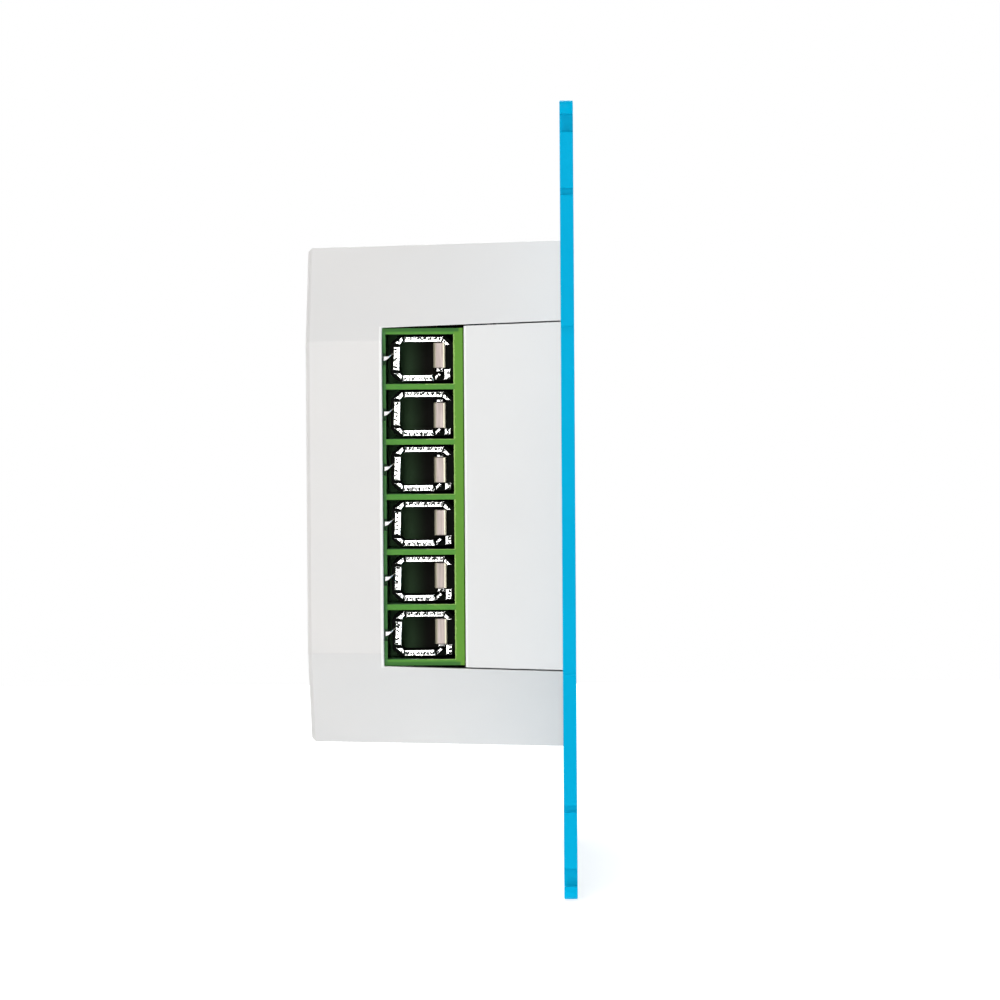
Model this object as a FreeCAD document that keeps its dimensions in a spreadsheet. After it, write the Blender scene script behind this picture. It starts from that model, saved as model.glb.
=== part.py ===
"""Flush-mounted rotary push dimmer: metal mounting plate, white module housing,
six rising-cage wire terminals and a flush dial that turns and pushes.

Millimetres. The origin is the middle of the mounting plate's wall side. The front of the
dimmer looks along -Y, the module goes into the wall along +Y and +Z is up. The wires come
in from the -X side.
"""
import FreeCAD, Part
import math
import os
import Sketcher
from FreeCAD import Placement, Rotation, Vector

SIZES = [
    # Mounting plate
    ("plate_side", 71.0),
    ("plate_thickness", 1.2),
    ("plate_corner_radius", 1.2),
    ("plate_seat_depth", 0.35),
    ("plate_seat_gap", 0.15),
    ("edge_waist_from_corner", 20.0),
    ("edge_waist_depth", 0.2),
    ("edge_groove_from_corner", 8.1),
    ("edge_groove_width", 0.6),
    ("edge_groove_depth", 0.4),
    ("edge_notch_from_corner", 2.0),
    ("edge_notch_width", 1.6),
    ("edge_notch_depth", 1.0),
    ("box_screw_spacing", 60.0),
    ("box_slot_length", 6.5),
    ("box_slot_width", 3.6),
    # Module housing
    ("housing_half_width", 23.2),
    ("housing_flat_half", 14.33),
    ("housing_depth", 23.1),
    ("housing_draft", 1.4),
    ("housing_wall", 1.6),
    ("housing_floor", 1.5),
    ("housing_edge_bevel", 0.35),
    ("board_post_radius", 2.6),
    ("board_post_gap", 0.6),
    # Snap hooks that hold the plate
    ("hook_place", 8.5),
    ("hook_width", 5.0),
    ("hook_inset", 0.15),
    ("hook_thickness", 1.0),
    ("hook_root", 1.5),
    ("hook_lug", 0.6),
    ("hook_lug_thickness", 0.4),
    ("hook_lead", 0.25),
    ("hook_sunk", 0.05),
    ("hook_gap", 0.1),
    # Side where the wires come in
    ("side_setback", 1.6),
    ("seam_gap", 0.12),
    ("block_recess", 0.15),
    # Printed circuit board
    ("board_front", 16.2),
    ("board_thickness", 1.6),
    ("board_gap", 0.3),
    # Terminal block
    ("pole_pitch", 5.0),
    ("block_length", 30.6),
    ("block_face_height", 7.3),
    ("block_height", 10.5),
    ("block_depth", 8.45),
    ("cell_width", 4.5),
    ("cell_front_rim", 0.8),
    ("cell_rear_rim", 0.3),
    ("cell_recess", 1.5),
    ("channel_depth", 5.75),
    ("pin_slot_width", 1.1),
    ("cage_length", 5.5),
    ("cage_gap", 0.1),
    ("cage_height", 5.8),
    ("cage_side_gap", 0.2),
    ("cage_side_wall", 0.5),
    ("cage_screw_wall", 0.75),
    ("cage_clamp_wall", 0.7),
    ("cage_bevel", 0.7),
    ("cage_window_bevel", 0.4),
    ("cage_floor_gap", 0.4),
    ("cage_travel", 2.2),
    ("cage_top_gap", 0.1),
    ("tail_overlap", 0.5),
    ("tail_root", 0.25),
    ("tail_reach", 1.0),
    ("tail_bevel", 0.35),
    ("bar_thickness", 1.1),
    ("bar_width", 2.3),
    ("bar_lead", 0.1),
    ("bar_gap", 0.05),
    ("pin_thickness", 0.7),
    ("pin_width", 0.9),
    ("pin_stick_out", 1.2),
    ("pin_hole_gap", 0.15),
    ("screw_radius", 1.25),
    ("screw_head_radius", 1.8),
    ("screw_head_height", 1.1),
    ("screw_sunk", 0.2),
    ("screw_slot_width", 0.6),
    ("screw_slot_depth", 0.6),
    ("running_clearance", 0.05),
    ("head_clearance", 0.15),
    # Front carrier
    ("carrier_thickness", 1.6),
    ("carrier_gap", 0.15),
    ("well_wall", 1.1),
    ("well_overlap", 0.1),
    ("well_step_front", 4.6),
    ("well_step_thickness", 1.0),
    ("nut_well_radius", 7.0),
    ("well_floor_front", 8.0),
    ("well_floor_thickness", 1.4),
    ("access_width", 4.4),
    ("access_wall", 0.8),
    ("cover_gap", 0.1),
    ("tongue_thickness", 1.0),
    # Dial
    ("dial_gap", 0.5),
    ("well_gap", 0.6),
    ("dial_sunk", 0.1),
    ("dial_disc", 2.0),
    ("dial_skirt_wall", 1.5),
    ("dial_skirt_depth", 3.7),
    ("dial_hub_radius", 4.6),
    ("dial_hub_end", 3.7),
    ("dimple_edge_gap", 1.4),
    ("dimple_depth", 0.8),
    ("dimple_radius", 3.3),
    ("push_travel", 0.5),
    ("clip_thickness", 0.3),
    ("clip_width", 3.2),
    ("clip_lip", 0.5),
    # Push encoder
    ("encoder_width", 12.4),
    ("encoder_height", 11.7),
    ("encoder_can_wall", 0.5),
    ("encoder_base_thickness", 1.6),
    ("encoder_pin_inset", 1.2),
    ("encoder_pin_pitch", 2.5),
    ("bush_radius", 3.5),
    ("bush_length", 5.0),
    ("bush_hole_gap", 0.05),
    ("thread_clearance", 0.02),
    ("shaft_radius", 3.0),
    ("shaft_flat", 1.5),
    ("shaft_front", 1.0),
    ("shaft_flat_gap", 0.2),
    ("shaft_hub_gap", 0.02),
    ("nut_thickness", 2.0),
    ("nut_across_flats", 10.0),
    ("rotor_radius", 4.7),
    ("rotor_thickness", 3.2),
    ("rotor_front_gap", 0.7),
    ("spring_thickness", 0.3),
    ("spring_can_gap", 0.5),
    ("spring_hole_gap", 0.5),
    ("spring_bump_width", 0.8),
    ("plunger_radius", 1.5),
    ("switch_well_radius", 2.6),
    ("switch_well_floor", 0.3),
    ("dome_height", 0.5),
    ("dome_thickness", 0.1),
    ("dome_well_gap", 0.2),
    ("stack_gap", 0.05),
    # Parts on the board
    ("cap_radius", 4.0),
    ("cap_height", 10.0),
    ("cap_wall_gap", 2.0),
    ("cap_corner_gap", 1.0),
    ("fuse_height", 8.0),
    ("fuse_width", 4.0),
    ("fuse_length", 8.5),
    ("film_cap_thickness", 5.2),
    ("film_cap_length", 13.2),
    ("film_cap_height", 11.5),
    ("film_cap_wall_gap", 1.2),
    ("choke_radius", 3.2),
    ("choke_height", 8.0),
    ("choke_across", 5.0),
    ("choke_wall_gap", 0.8),
    ("varistor_radius", 4.4),
    ("varistor_thickness", 3.2),
    ("varistor_across", 3.5),
    ("varistor_wall_gap", 2.2),
    ("varistor_lift", 0.4),
    ("chip_side", 5.0),
    ("chip_thickness", 0.9),
    ("chip_place", 8.0),
    ("rectifier_length", 5.0),
    ("rectifier_width", 4.5),
    ("rectifier_thickness", 1.6),
    ("rectifier_across", 5.0),
    ("rectifier_down", 11.25),
    ("transistor_width", 6.6),
    ("transistor_thickness", 2.4),
    ("transistor_height", 8.0),
    ("transistor_spacing", 8.0),
    ("leg_pitch", 2.2),
    ("leg_width", 0.7),
    ("leg_thickness", 0.6),
    ("leg_lift", 0.9),
    ("spreader_thickness", 1.2),
    ("spreader_width", 16.0),
    ("spreader_depth", 14.0),
    ("spreader_flange", 4.6),
    ("spreader_wall_gap", 1.2),
    ("spreader_window_gap", 0.2),
    ("thermal_pad_thickness", 0.2),
    ("thermal_pad_margin", 0.5),
    ("sheet_thickness", 0.3),
    ("sheet_gap", 0.6),
    ("sheet_post_gap", 0.3),
]

POLES = 6
NUT_SIDES = 6
DIAGONAL = math.sqrt(2.0)
SPARE = 1.0  # how far a cutting shape reaches past the surface that it opens

doc = FreeCAD.newDocument("rotary_push_dimmer")
sheet = doc.addObject("Spreadsheet::Sheet", "Dimensions")
nodes = []


class Measure:
    """A number together with the spreadsheet formula that gives it."""

    def __init__(self, value, formula):
        self.value = float(value)
        self.formula = formula

    def __add__(self, other):
        other = measure(other)
        return Measure(self.value + other.value, "(%s + %s)" % (self.formula, other.formula))

    def __sub__(self, other):
        other = measure(other)
        return Measure(self.value - other.value, "(%s - %s)" % (self.formula, other.formula))

    def __mul__(self, other):
        other = measure(other)
        return Measure(self.value * other.value, "(%s * %s)" % (self.formula, other.formula))

    def __truediv__(self, other):
        other = measure(other)
        return Measure(self.value / other.value, "(%s / %s)" % (self.formula, other.formula))

    def __neg__(self):
        return Measure(-self.value, "(0 - %s)" % self.formula)

    def __radd__(self, other):
        return measure(other) + self

    def __rsub__(self, other):
        return measure(other) - self

    def __rmul__(self, other):
        return measure(other) * self


def measure(number):
    """A plain number as a Measure; a Measure as it is."""
    if isinstance(number, Measure):
        return number
    return Measure(number, "(%r)" % float(number))


class SizeTable:
    """The driving dimensions, each a named cell of the spreadsheet."""

    def __init__(self, rows):
        for row, (name, value) in enumerate(rows, start=1):
            sheet.set("A%d" % row, name)
            sheet.set("B%d" % row, repr(value))
            sheet.setAlias("B%d" % row, name)
            setattr(self, name, Measure(value, "Dimensions." + name))


size = SizeTable(SIZES)
doc.recompute()


def bind(thing, path, amount, unit=""):
    """Ties one property of a document object to the sheet."""
    thing.setExpression(path, measure(amount).formula + unit)


def tangent(angle):
    """The slope of a draft angle given in degrees."""
    return Measure(math.tan(math.radians(angle.value)), "tan(%s * 1 deg)" % angle.formula)


def register(node, thing):
    """Gives a finished sub-part its own name and keeps it for export."""
    thing.Label = node
    nodes.append((node, thing))
    return thing


# Sketches. A sketch across the depth has u along X and v along Z at a given Y; one on the
# side has u along Y and v along Z at a given X; one in plan has u along X and v along Y.
PLANES = {"depth": ("XZ_Plane", -1.0), "side": ("YZ_Plane", 1.0), "plan": ("XY_Plane", 1.0)}


def new_body(name):
    return doc.addObject("PartDesign::Body", name)


def new_sketch(body, name, plane, place):
    role, direction = PLANES[plane]
    sketch = body.newObject("Sketcher::SketchObject", name)
    for feature in body.Origin.OriginFeatures:
        if feature.Role == role:
            sketch.AttachmentSupport = [(feature, "")]
    sketch.MapMode = "FlatFace"
    bind(sketch, "AttachmentOffset.Base.z", measure(place) * direction)
    return sketch


def pin_point(sketch, edge, point, place):
    """Fixes one point of an edge at a measured place from the sketch's origin."""
    for kind, amount in zip(("DistanceX", "DistanceY"), place):
        amount = measure(amount)
        index = sketch.addConstraint(
            Sketcher.Constraint(kind, -1, 1, edge, point, amount.value))
        bind(sketch, "Constraints[%d]" % index, amount)


def add_polygon(sketch, corners):
    """A closed outline through the given corners."""
    corners = [(measure(u), measure(v)) for u, v in corners]
    first = sketch.GeometryCount
    count = len(corners)
    for index, (u, v) in enumerate(corners):
        end_u, end_v = corners[(index + 1) % count]
        sketch.addGeometry(Part.LineSegment(
            Vector(u.value, v.value, 0), Vector(end_u.value, end_v.value, 0)), False)
    for index in range(count):
        following = first + (index + 1) % count
        sketch.addConstraint(Sketcher.Constraint("Coincident", first + index, 2, following, 1))
    for index, corner in enumerate(corners):
        pin_point(sketch, first + index, 1, corner)


def add_rectangle(sketch, low_u, high_u, low_v, high_v):
    add_polygon(sketch, [(low_u, low_v), (high_u, low_v), (high_u, high_v), (low_u, high_v)])


def add_circle(sketch, u, v, radius):
    u, v, radius = measure(u), measure(v), measure(radius)
    edge = sketch.addGeometry(Part.Circle(
        Vector(u.value, v.value, 0), Vector(0, 0, 1), radius.value), False)
    pin_point(sketch, edge, 3, (u, v))
    index = sketch.addConstraint(Sketcher.Constraint("Radius", edge, radius.value))
    bind(sketch, "Constraints[%d]" % index, radius)


def add_slot(sketch, u, v, length, width):
    """A slot with round ends that runs along u."""
    u, v, reach, radius = measure(u), measure(v), (length - width) / 2, width / 2
    ends = []
    for side, turn in ((1.0, -math.pi / 2), (-1.0, math.pi / 2)):
        centre = Vector(u.value + side * reach.value, v.value, 0)
        arc = Part.ArcOfCircle(
            Part.Circle(centre, Vector(0, 0, 1), radius.value), turn, turn + math.pi)
        edge = sketch.addGeometry(arc, False)
        pin_point(sketch, edge, 3, (u + side * reach, v))
        index = sketch.addConstraint(Sketcher.Constraint("Radius", edge, radius.value))
        bind(sketch, "Constraints[%d]" % index, radius)
        ends.append(edge)
    for start, finish, height in ((0, 1, 1.0), (1, 0, -1.0)):
        side = 1.0 if start == 0 else -1.0
        line = sketch.addGeometry(Part.LineSegment(
            Vector(u.value + side * reach.value, v.value + height * radius.value, 0),
            Vector(u.value - side * reach.value, v.value + height * radius.value, 0)), False)
        sketch.addConstraint(Sketcher.Constraint("Tangent", ends[start], 2, line, 1))
        sketch.addConstraint(Sketcher.Constraint("Tangent", line, 2, ends[finish], 1))


def octagon(half, flat_half):
    """The corners of a square of the given half width with its corners cut at 45 degrees."""
    return [(half, -flat_half), (half, flat_half), (flat_half, half), (-flat_half, half),
            (-half, flat_half), (-half, -flat_half), (-flat_half, -half), (flat_half, -half)]


# Solid features
def pad(body, sketch, length, forward=False, taper=None):
    """Adds material: into the wall or towards +X, or the other way when forward."""
    feature = body.newObject("PartDesign::Pad", sketch.Name + "_pad")
    feature.Profile = sketch
    bind(feature, "Length", length)
    points_back = sketch.AttachmentSupport[0][0].Role == "XZ_Plane"
    feature.Reversed = points_back != forward
    if taper is not None:
        bind(feature, "TaperAngle", -taper, " * 1 deg")
    body.Tip = feature
    doc.recompute()
    return feature


def pocket(body, sketch, length, forward=False, taper=None):
    """Removes material: into the wall or towards +X, or the other way when forward."""
    before = body.Shape.Volume
    feature = body.newObject("PartDesign::Pocket", sketch.Name + "_cut")
    feature.Profile = sketch
    bind(feature, "Length", length)
    points_back = sketch.AttachmentSupport[0][0].Role == "XZ_Plane"
    feature.Reversed = points_back == forward
    if taper is not None:
        bind(feature, "TaperAngle", -taper, " * 1 deg")
    body.Tip = feature
    doc.recompute()
    if body.Shape.Volume > before - 1e-4:
        raise RuntimeError("%s cuts nothing" % feature.Name)
    return feature


def revolve(body, sketch, axis="V_Axis"):
    feature = body.newObject("PartDesign::Revolution", sketch.Name + "_turned")
    feature.Profile = sketch
    feature.ReferenceAxis = (sketch, [axis])
    feature.Angle = 360.0
    body.Tip = feature
    doc.recompute()
    return feature


def repeat_around(body, feature, copies):
    """Repeats a feature around the dial's axis."""
    before = body.Shape.Volume
    pattern = body.newObject("PartDesign::PolarPattern", feature.Name + "_around")
    pattern.Originals = [feature]
    for axis in body.Origin.OriginFeatures:
        if axis.Role == "Y_Axis":
            pattern.Axis = (axis, [""])
    pattern.Angle = 360.0
    pattern.Occurrences = copies
    body.Tip = pattern
    doc.recompute()
    if abs(body.Shape.Volume - before) < 1e-4:
        raise RuntimeError("%s repeats nothing" % feature.Name)
    return pattern


def edge_names(shape, wanted):
    """Names of the edges whose middle point passes the given test."""
    names = []
    for number, edge in enumerate(shape.Edges, start=1):
        middle = edge.valueAt((edge.FirstParameter + edge.LastParameter) / 2)
        if wanted(edge, middle):
            names.append("Edge%d" % number)
    return names


def soften(body, kind, wanted, amount):
    """Rounds or bevels the edges that pass the test."""
    base = body.Tip
    names = edge_names(base.Shape, wanted)
    feature = body.newObject("PartDesign::" + kind, base.Name + "_" + kind.lower())
    feature.Base = (base, names)
    bind(feature, "Radius" if kind == "Fillet" else "Size", amount)
    body.Tip = feature
    doc.recompute()
    return feature


# Primitives bound to the sheet
def box(name, low, high):
    solid = doc.addObject("Part::Box", name)
    for axis, side, start, end in zip("xyz", ("Length", "Width", "Height"), low, high):
        bind(solid, side, measure(end) - start)
        bind(solid, "Placement.Base." + axis, start)
    return solid


def rod(name, across, up, start, end, radius):
    """A cylinder along Y, from start to end."""
    solid = doc.addObject("Part::Cylinder", name)
    solid.Placement = Placement(Vector(0, 0, 0), Rotation(Vector(1, 0, 0), -90))
    for axis, amount in zip("xyz", (across, start, up)):
        bind(solid, "Placement.Base." + axis, amount)
    bind(solid, "Height", measure(end) - start)
    bind(solid, "Radius", radius)
    return solid


def cut(name, base, tool):
    result = doc.addObject("Part::Cut", name)
    result.Base = base
    result.Tool = tool
    return result


def join(name, solids):
    result = doc.addObject("Part::MultiFuse", name)
    result.Shapes = solids
    return result


def group(name, solids):
    """Separate solids that share one node."""
    result = doc.addObject("Part::Compound", name)
    result.Links = solids
    return result


# Places that several sub-parts share
plate_front = -size.plate_thickness
seat = -size.plate_seat_depth
housing_rear = size.housing_depth
floor_front = size.housing_depth - size.housing_floor
board_rear = size.board_front + size.board_thickness
inner_half = size.housing_half_width - size.housing_wall
inner_flat = size.housing_flat_half - size.housing_wall * (DIAGONAL - 1.0)
corner_sum = size.housing_half_width + size.housing_flat_half
well_floor_rear = size.well_floor_front + size.well_floor_thickness
side_plane = size.housing_half_width - size.side_setback
side_face = -side_plane
block_face = side_face + size.block_recess
block_step_face = side_face + size.tongue_thickness + size.block_recess
block_back = block_face + size.block_depth
block_rear = size.board_front
block_front = block_rear - size.block_height
block_face_front = block_rear - size.block_face_height
cell_front = block_face_front + size.cell_front_rim
cell_rear = block_rear - size.cell_rear_rim
channel_start = block_face + size.cell_recess
channel_end = channel_start + size.channel_depth
cage_start = channel_start + size.cage_gap
cage_end = cage_start + size.cage_length
screw_across = (cage_start + cage_end) / 2
cage_rear = cell_rear - size.cage_floor_gap
cage_front = cage_rear - size.cage_height
bar_front = cage_front + size.cage_screw_wall + size.bar_gap
bar_rear = bar_front + size.bar_thickness
channel_front = cage_front - size.cage_travel - size.cage_top_gap
head_front = block_front + size.screw_sunk
head_rear = head_front + size.screw_head_height
screw_tip = bar_front - size.bar_gap
bush_front = well_floor_rear - size.bush_length
can_front = well_floor_rear
base_front = size.board_front - size.encoder_base_thickness
rotor_front = can_front + size.encoder_can_wall + size.rotor_front_gap
rotor_rear = rotor_front + size.rotor_thickness
shaft_rear = rotor_rear + size.stack_gap
cover_rear = block_front - size.cover_gap
access_half = size.block_length / 2 - size.cell_width / 2 + size.screw_head_radius
access_start = screw_across - size.access_width / 2
access_end = screw_across + size.access_width / 2
# The dial is as large as the room beside the driver channel allows.
well_outside = size.well_overlap - (access_end + size.access_wall)
well_radius = well_outside - size.well_wall
dial_radius = well_radius - size.well_gap
hook_low = inner_half + size.hook_inset
hook_high = hook_low + size.hook_thickness
hook_front = plate_front + size.hook_sunk
lug_rear = hook_front + size.hook_lug_thickness
film_cap_start = inner_half - size.film_cap_wall_gap - size.film_cap_thickness
cap_across = inner_half - size.cap_wall_gap - size.cap_radius
cap_up = (inner_half + inner_flat - cap_across
          - (size.cap_corner_gap + size.cap_radius) * DIAGONAL)


def pole_up(pole):
    """Height of one pole's middle, counted from the lowest."""
    return size.pole_pitch * (pole - (POLES - 1) / 2)


def side_half(depth):
    """Half width at a depth of the flat that the side plane cuts on the cut corners."""
    slope = tangent(size.housing_draft) * DIAGONAL
    return corner_sum - side_plane - slope * (measure(depth) - seat)


def post_places():
    """One board post behind the terminal block, one beside the film capacitor."""
    reach = size.board_post_gap + size.board_post_radius
    return [(block_back + reach, size.pole_pitch * 2), (film_cap_start - reach, measure(0))]


def side_outline(front, rear, gap):
    """Outline of the notch in the housing's side, or of a piece that fills it."""
    return [(front, -(side_half(front) - gap)), (rear, -(side_half(rear) - gap)),
            (rear, side_half(rear) - gap), (front, side_half(front) - gap)]


def make_mounting_plate():
    """Coated plate: shaped edges, dial opening, driver slot, screw slots, hook windows."""
    body = new_body("plate_body")
    half = size.plate_side / 2
    outline = new_sketch(body, "plate_outline", "depth", plate_front)
    add_rectangle(outline, -half, half, -half, half)
    pad(body, outline, size.plate_thickness)
    soften(body, "Fillet", lambda edge, middle: abs(middle.x) > half.value - 1e-3
           and abs(middle.z) > half.value - 1e-3, size.plate_corner_radius)

    edge = new_sketch(body, "plate_edge", "depth", plate_front)
    waist = half - size.edge_waist_from_corner
    add_rectangle(edge, -half - SPARE, size.edge_waist_depth - half, -waist, waist)
    notch = new_sketch(body, "plate_notch", "depth", plate_front)
    marks = ((edge, size.edge_groove_from_corner, size.edge_groove_width,
              size.edge_groove_depth),
             (notch, size.edge_notch_from_corner, size.edge_notch_width,
              size.edge_notch_depth))
    for sketch, from_corner, width, depth in marks:
        for side in (-1.0, 1.0):
            middle = (half - from_corner) * side
            add_rectangle(sketch, -half - SPARE, depth - half, middle - width / 2,
                          middle + width / 2)
    edge_cut = pocket(body, edge, size.plate_thickness)
    repeat_around(body, edge_cut, 4)
    notch_cut = pocket(body, notch, size.plate_thickness)
    repeat_around(body, notch_cut, 2)

    seat_sketch = new_sketch(body, "plate_seat", "depth", seat)
    gap = size.plate_seat_gap
    add_polygon(seat_sketch, octagon(size.housing_half_width + gap,
                                     size.housing_flat_half + gap * (DIAGONAL - 1.0)))
    pocket(body, seat_sketch, size.plate_seat_depth)

    opening = new_sketch(body, "plate_opening", "depth", plate_front)
    add_circle(opening, 0, 0, dial_radius + size.dial_gap)
    pocket(body, opening, size.plate_thickness)

    access = new_sketch(body, "plate_access", "depth", plate_front)
    add_rectangle(access, access_start, access_end, -access_half, access_half)
    pocket(body, access, size.plate_thickness)

    slot = new_sketch(body, "plate_slot", "depth", plate_front)
    add_slot(slot, size.box_screw_spacing / 2, 0, size.box_slot_length, size.box_slot_width)
    slot_cut = pocket(body, slot, size.plate_thickness)
    repeat_around(body, slot_cut, 4)

    windows = new_sketch(body, "plate_hook_windows", "depth", plate_front)
    shelves = new_sketch(body, "plate_hook_shelves", "depth", plate_front)
    half_window = size.hook_width / 2 + size.hook_gap
    low = hook_low - size.hook_gap
    for across in (-size.hook_place, size.hook_place):
        for side in (-1.0, 1.0):
            add_rectangle(windows, across - half_window, across + half_window,
                          low * side, (hook_high + size.hook_gap) * side)
            add_rectangle(shelves, across - half_window, across + half_window,
                          low * side, (hook_high + size.hook_lug + size.hook_gap) * side)
    pocket(body, windows, size.plate_thickness)
    pocket(body, shelves, lug_rear + size.stack_gap - plate_front)
    register("mounting_plate", body)


def make_rear_housing():
    """Moulded cup: drafted walls, cut corners, an open side notch, board posts, snap hooks."""
    body = new_body("housing_body")
    outline = new_sketch(body, "housing_outline", "depth", seat)
    add_polygon(outline, octagon(size.housing_half_width, size.housing_flat_half))
    pad(body, outline, housing_rear - seat, taper=size.housing_draft)
    soften(body, "Chamfer", lambda edge, middle: middle.y > housing_rear.value - 1e-3,
           size.housing_edge_bevel)

    hollow = new_sketch(body, "housing_hollow", "depth", seat)
    add_polygon(hollow, octagon(inner_half, inner_flat))
    pocket(body, hollow, floor_front - seat, taper=size.housing_draft)

    posts = new_sketch(body, "housing_posts", "depth", floor_front)
    for across, up in post_places():
        add_circle(posts, across, up, size.board_post_radius)
    pad(body, posts, floor_front - board_rear, forward=True)

    notch = new_sketch(body, "housing_notch", "side", -size.housing_half_width - SPARE)
    add_polygon(notch, side_outline(seat - SPARE, block_rear, 0))
    pocket(body, notch, size.side_setback + (size.housing_wall + SPARE) * DIAGONAL)

    lug_top = hook_high + size.hook_lug
    for name, across in (("left", -size.hook_place), ("right", size.hook_place)):
        hooks = new_sketch(body, "housing_hooks_" + name, "side", across - size.hook_width / 2)
        for side in (-1.0, 1.0):
            add_polygon(hooks, [
                (seat + size.hook_root, hook_low * side), (hook_front, hook_low * side),
                (hook_front, (lug_top - size.hook_lead) * side),
                (hook_front + size.hook_lead, lug_top * side), (lug_rear, lug_top * side),
                (lug_rear, hook_high * side), (seat + size.hook_root, hook_high * side)])
        pad(body, hooks, size.hook_width)
    register("rear_housing", body)


def make_front_carrier():
    """Inner cover: dial well, driver channel over the terminal screws and side tongue."""
    body = new_body("carrier_body")
    gap = size.carrier_gap
    lid_rear = seat + size.carrier_thickness
    lid = new_sketch(body, "carrier_lid", "depth", seat)
    lid_half = inner_half - gap
    add_polygon(lid, octagon(lid_half, inner_flat - gap * (DIAGONAL - 1.0)))
    pad(body, lid, size.carrier_thickness, taper=size.housing_draft)

    root = lid_rear - size.carrier_thickness / 2
    well_step_rear = size.well_step_front + size.well_step_thickness
    well = new_sketch(body, "carrier_well", "depth", root)
    add_circle(well, 0, 0, well_outside)
    pad(body, well, well_step_rear - root)

    nut_well = new_sketch(body, "carrier_nut_well", "depth", size.well_step_front)
    add_circle(nut_well, 0, 0, size.nut_well_radius + size.well_wall)
    pad(body, nut_well, well_floor_rear - size.well_step_front)

    channel = new_sketch(body, "carrier_channel", "depth", root)
    tongue_back = side_face + size.tongue_thickness
    channel_half = side_half(cover_rear) - size.seam_gap
    add_rectangle(channel, tongue_back, access_end + size.access_wall,
                  -channel_half, channel_half)
    pad(body, channel, cover_rear - root)

    tongue = new_sketch(body, "carrier_tongue", "side", side_face)
    add_polygon(tongue, side_outline(seat, block_face_front - size.cover_gap, size.seam_gap))
    pad(body, tongue, size.tongue_thickness)

    bore = new_sketch(body, "carrier_bore", "depth", seat)
    add_circle(bore, 0, 0, well_radius)
    pocket(body, bore, size.well_step_front - seat)

    nut_bore = new_sketch(body, "carrier_nut_bore", "depth", size.well_step_front)
    add_circle(nut_bore, 0, 0, size.nut_well_radius)
    pocket(body, nut_bore, size.well_floor_front - size.well_step_front)

    centre = new_sketch(body, "carrier_centre", "depth", size.well_floor_front)
    add_circle(centre, 0, 0, size.bush_radius + size.bush_hole_gap)
    pocket(body, centre, size.well_floor_thickness)

    access = new_sketch(body, "carrier_access", "depth", seat)
    add_rectangle(access, access_start, access_end, -access_half, access_half)
    pocket(body, access, cover_rear - seat)

    window = new_sketch(body, "carrier_window", "depth", seat)
    slack = size.spreader_window_gap
    spreader_down = inner_half - size.spreader_wall_gap
    add_rectangle(window, -size.spreader_width / 2 - slack, size.spreader_width / 2 + slack,
                  -spreader_down - slack, size.spreader_flange - spreader_down + slack)
    pocket(body, window, size.carrier_thickness)
    register("front_carrier", body)


def make_main_board():
    """Circuit board with slots for the flat pins of the terminals and the encoder."""
    body = new_body("board_body")
    outline = new_sketch(body, "board_outline", "depth", size.board_front)
    drop = tangent(size.housing_draft) * (board_rear - seat)
    half = inner_half - drop - size.board_gap
    flat = inner_flat - (drop + size.board_gap) * (DIAGONAL - 1.0)
    add_polygon(outline, octagon(half, flat))
    pad(body, outline, size.board_thickness)
    slots = new_sketch(body, "board_pin_slots", "depth", size.board_front)
    long_half = size.pin_width / 2 + size.pin_hole_gap
    short_half = size.pin_thickness / 2 + size.pin_hole_gap
    bar_pin_across = block_back + size.bar_gap + size.pin_thickness / 2
    for pole in range(POLES):
        up = pole_up(pole)
        add_rectangle(slots, bar_pin_across - short_half, bar_pin_across + short_half,
                      up - long_half, up + long_half)
    for across, up in encoder_pin_places():
        add_rectangle(slots, across - long_half, across + long_half,
                      up - short_half, up + short_half)
    pocket(body, slots, size.board_thickness)
    register("main_board", body)


def encoder_pin_places():
    """Three turn contacts below the encoder and two push contacts above it."""
    reach = size.encoder_height / 2 - size.encoder_pin_inset
    lower = [(size.encoder_pin_pitch * step, -reach) for step in (-1, 0, 1)]
    upper = [(size.encoder_pin_pitch * step, reach) for step in (-1, 1)]
    return lower + upper


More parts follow.
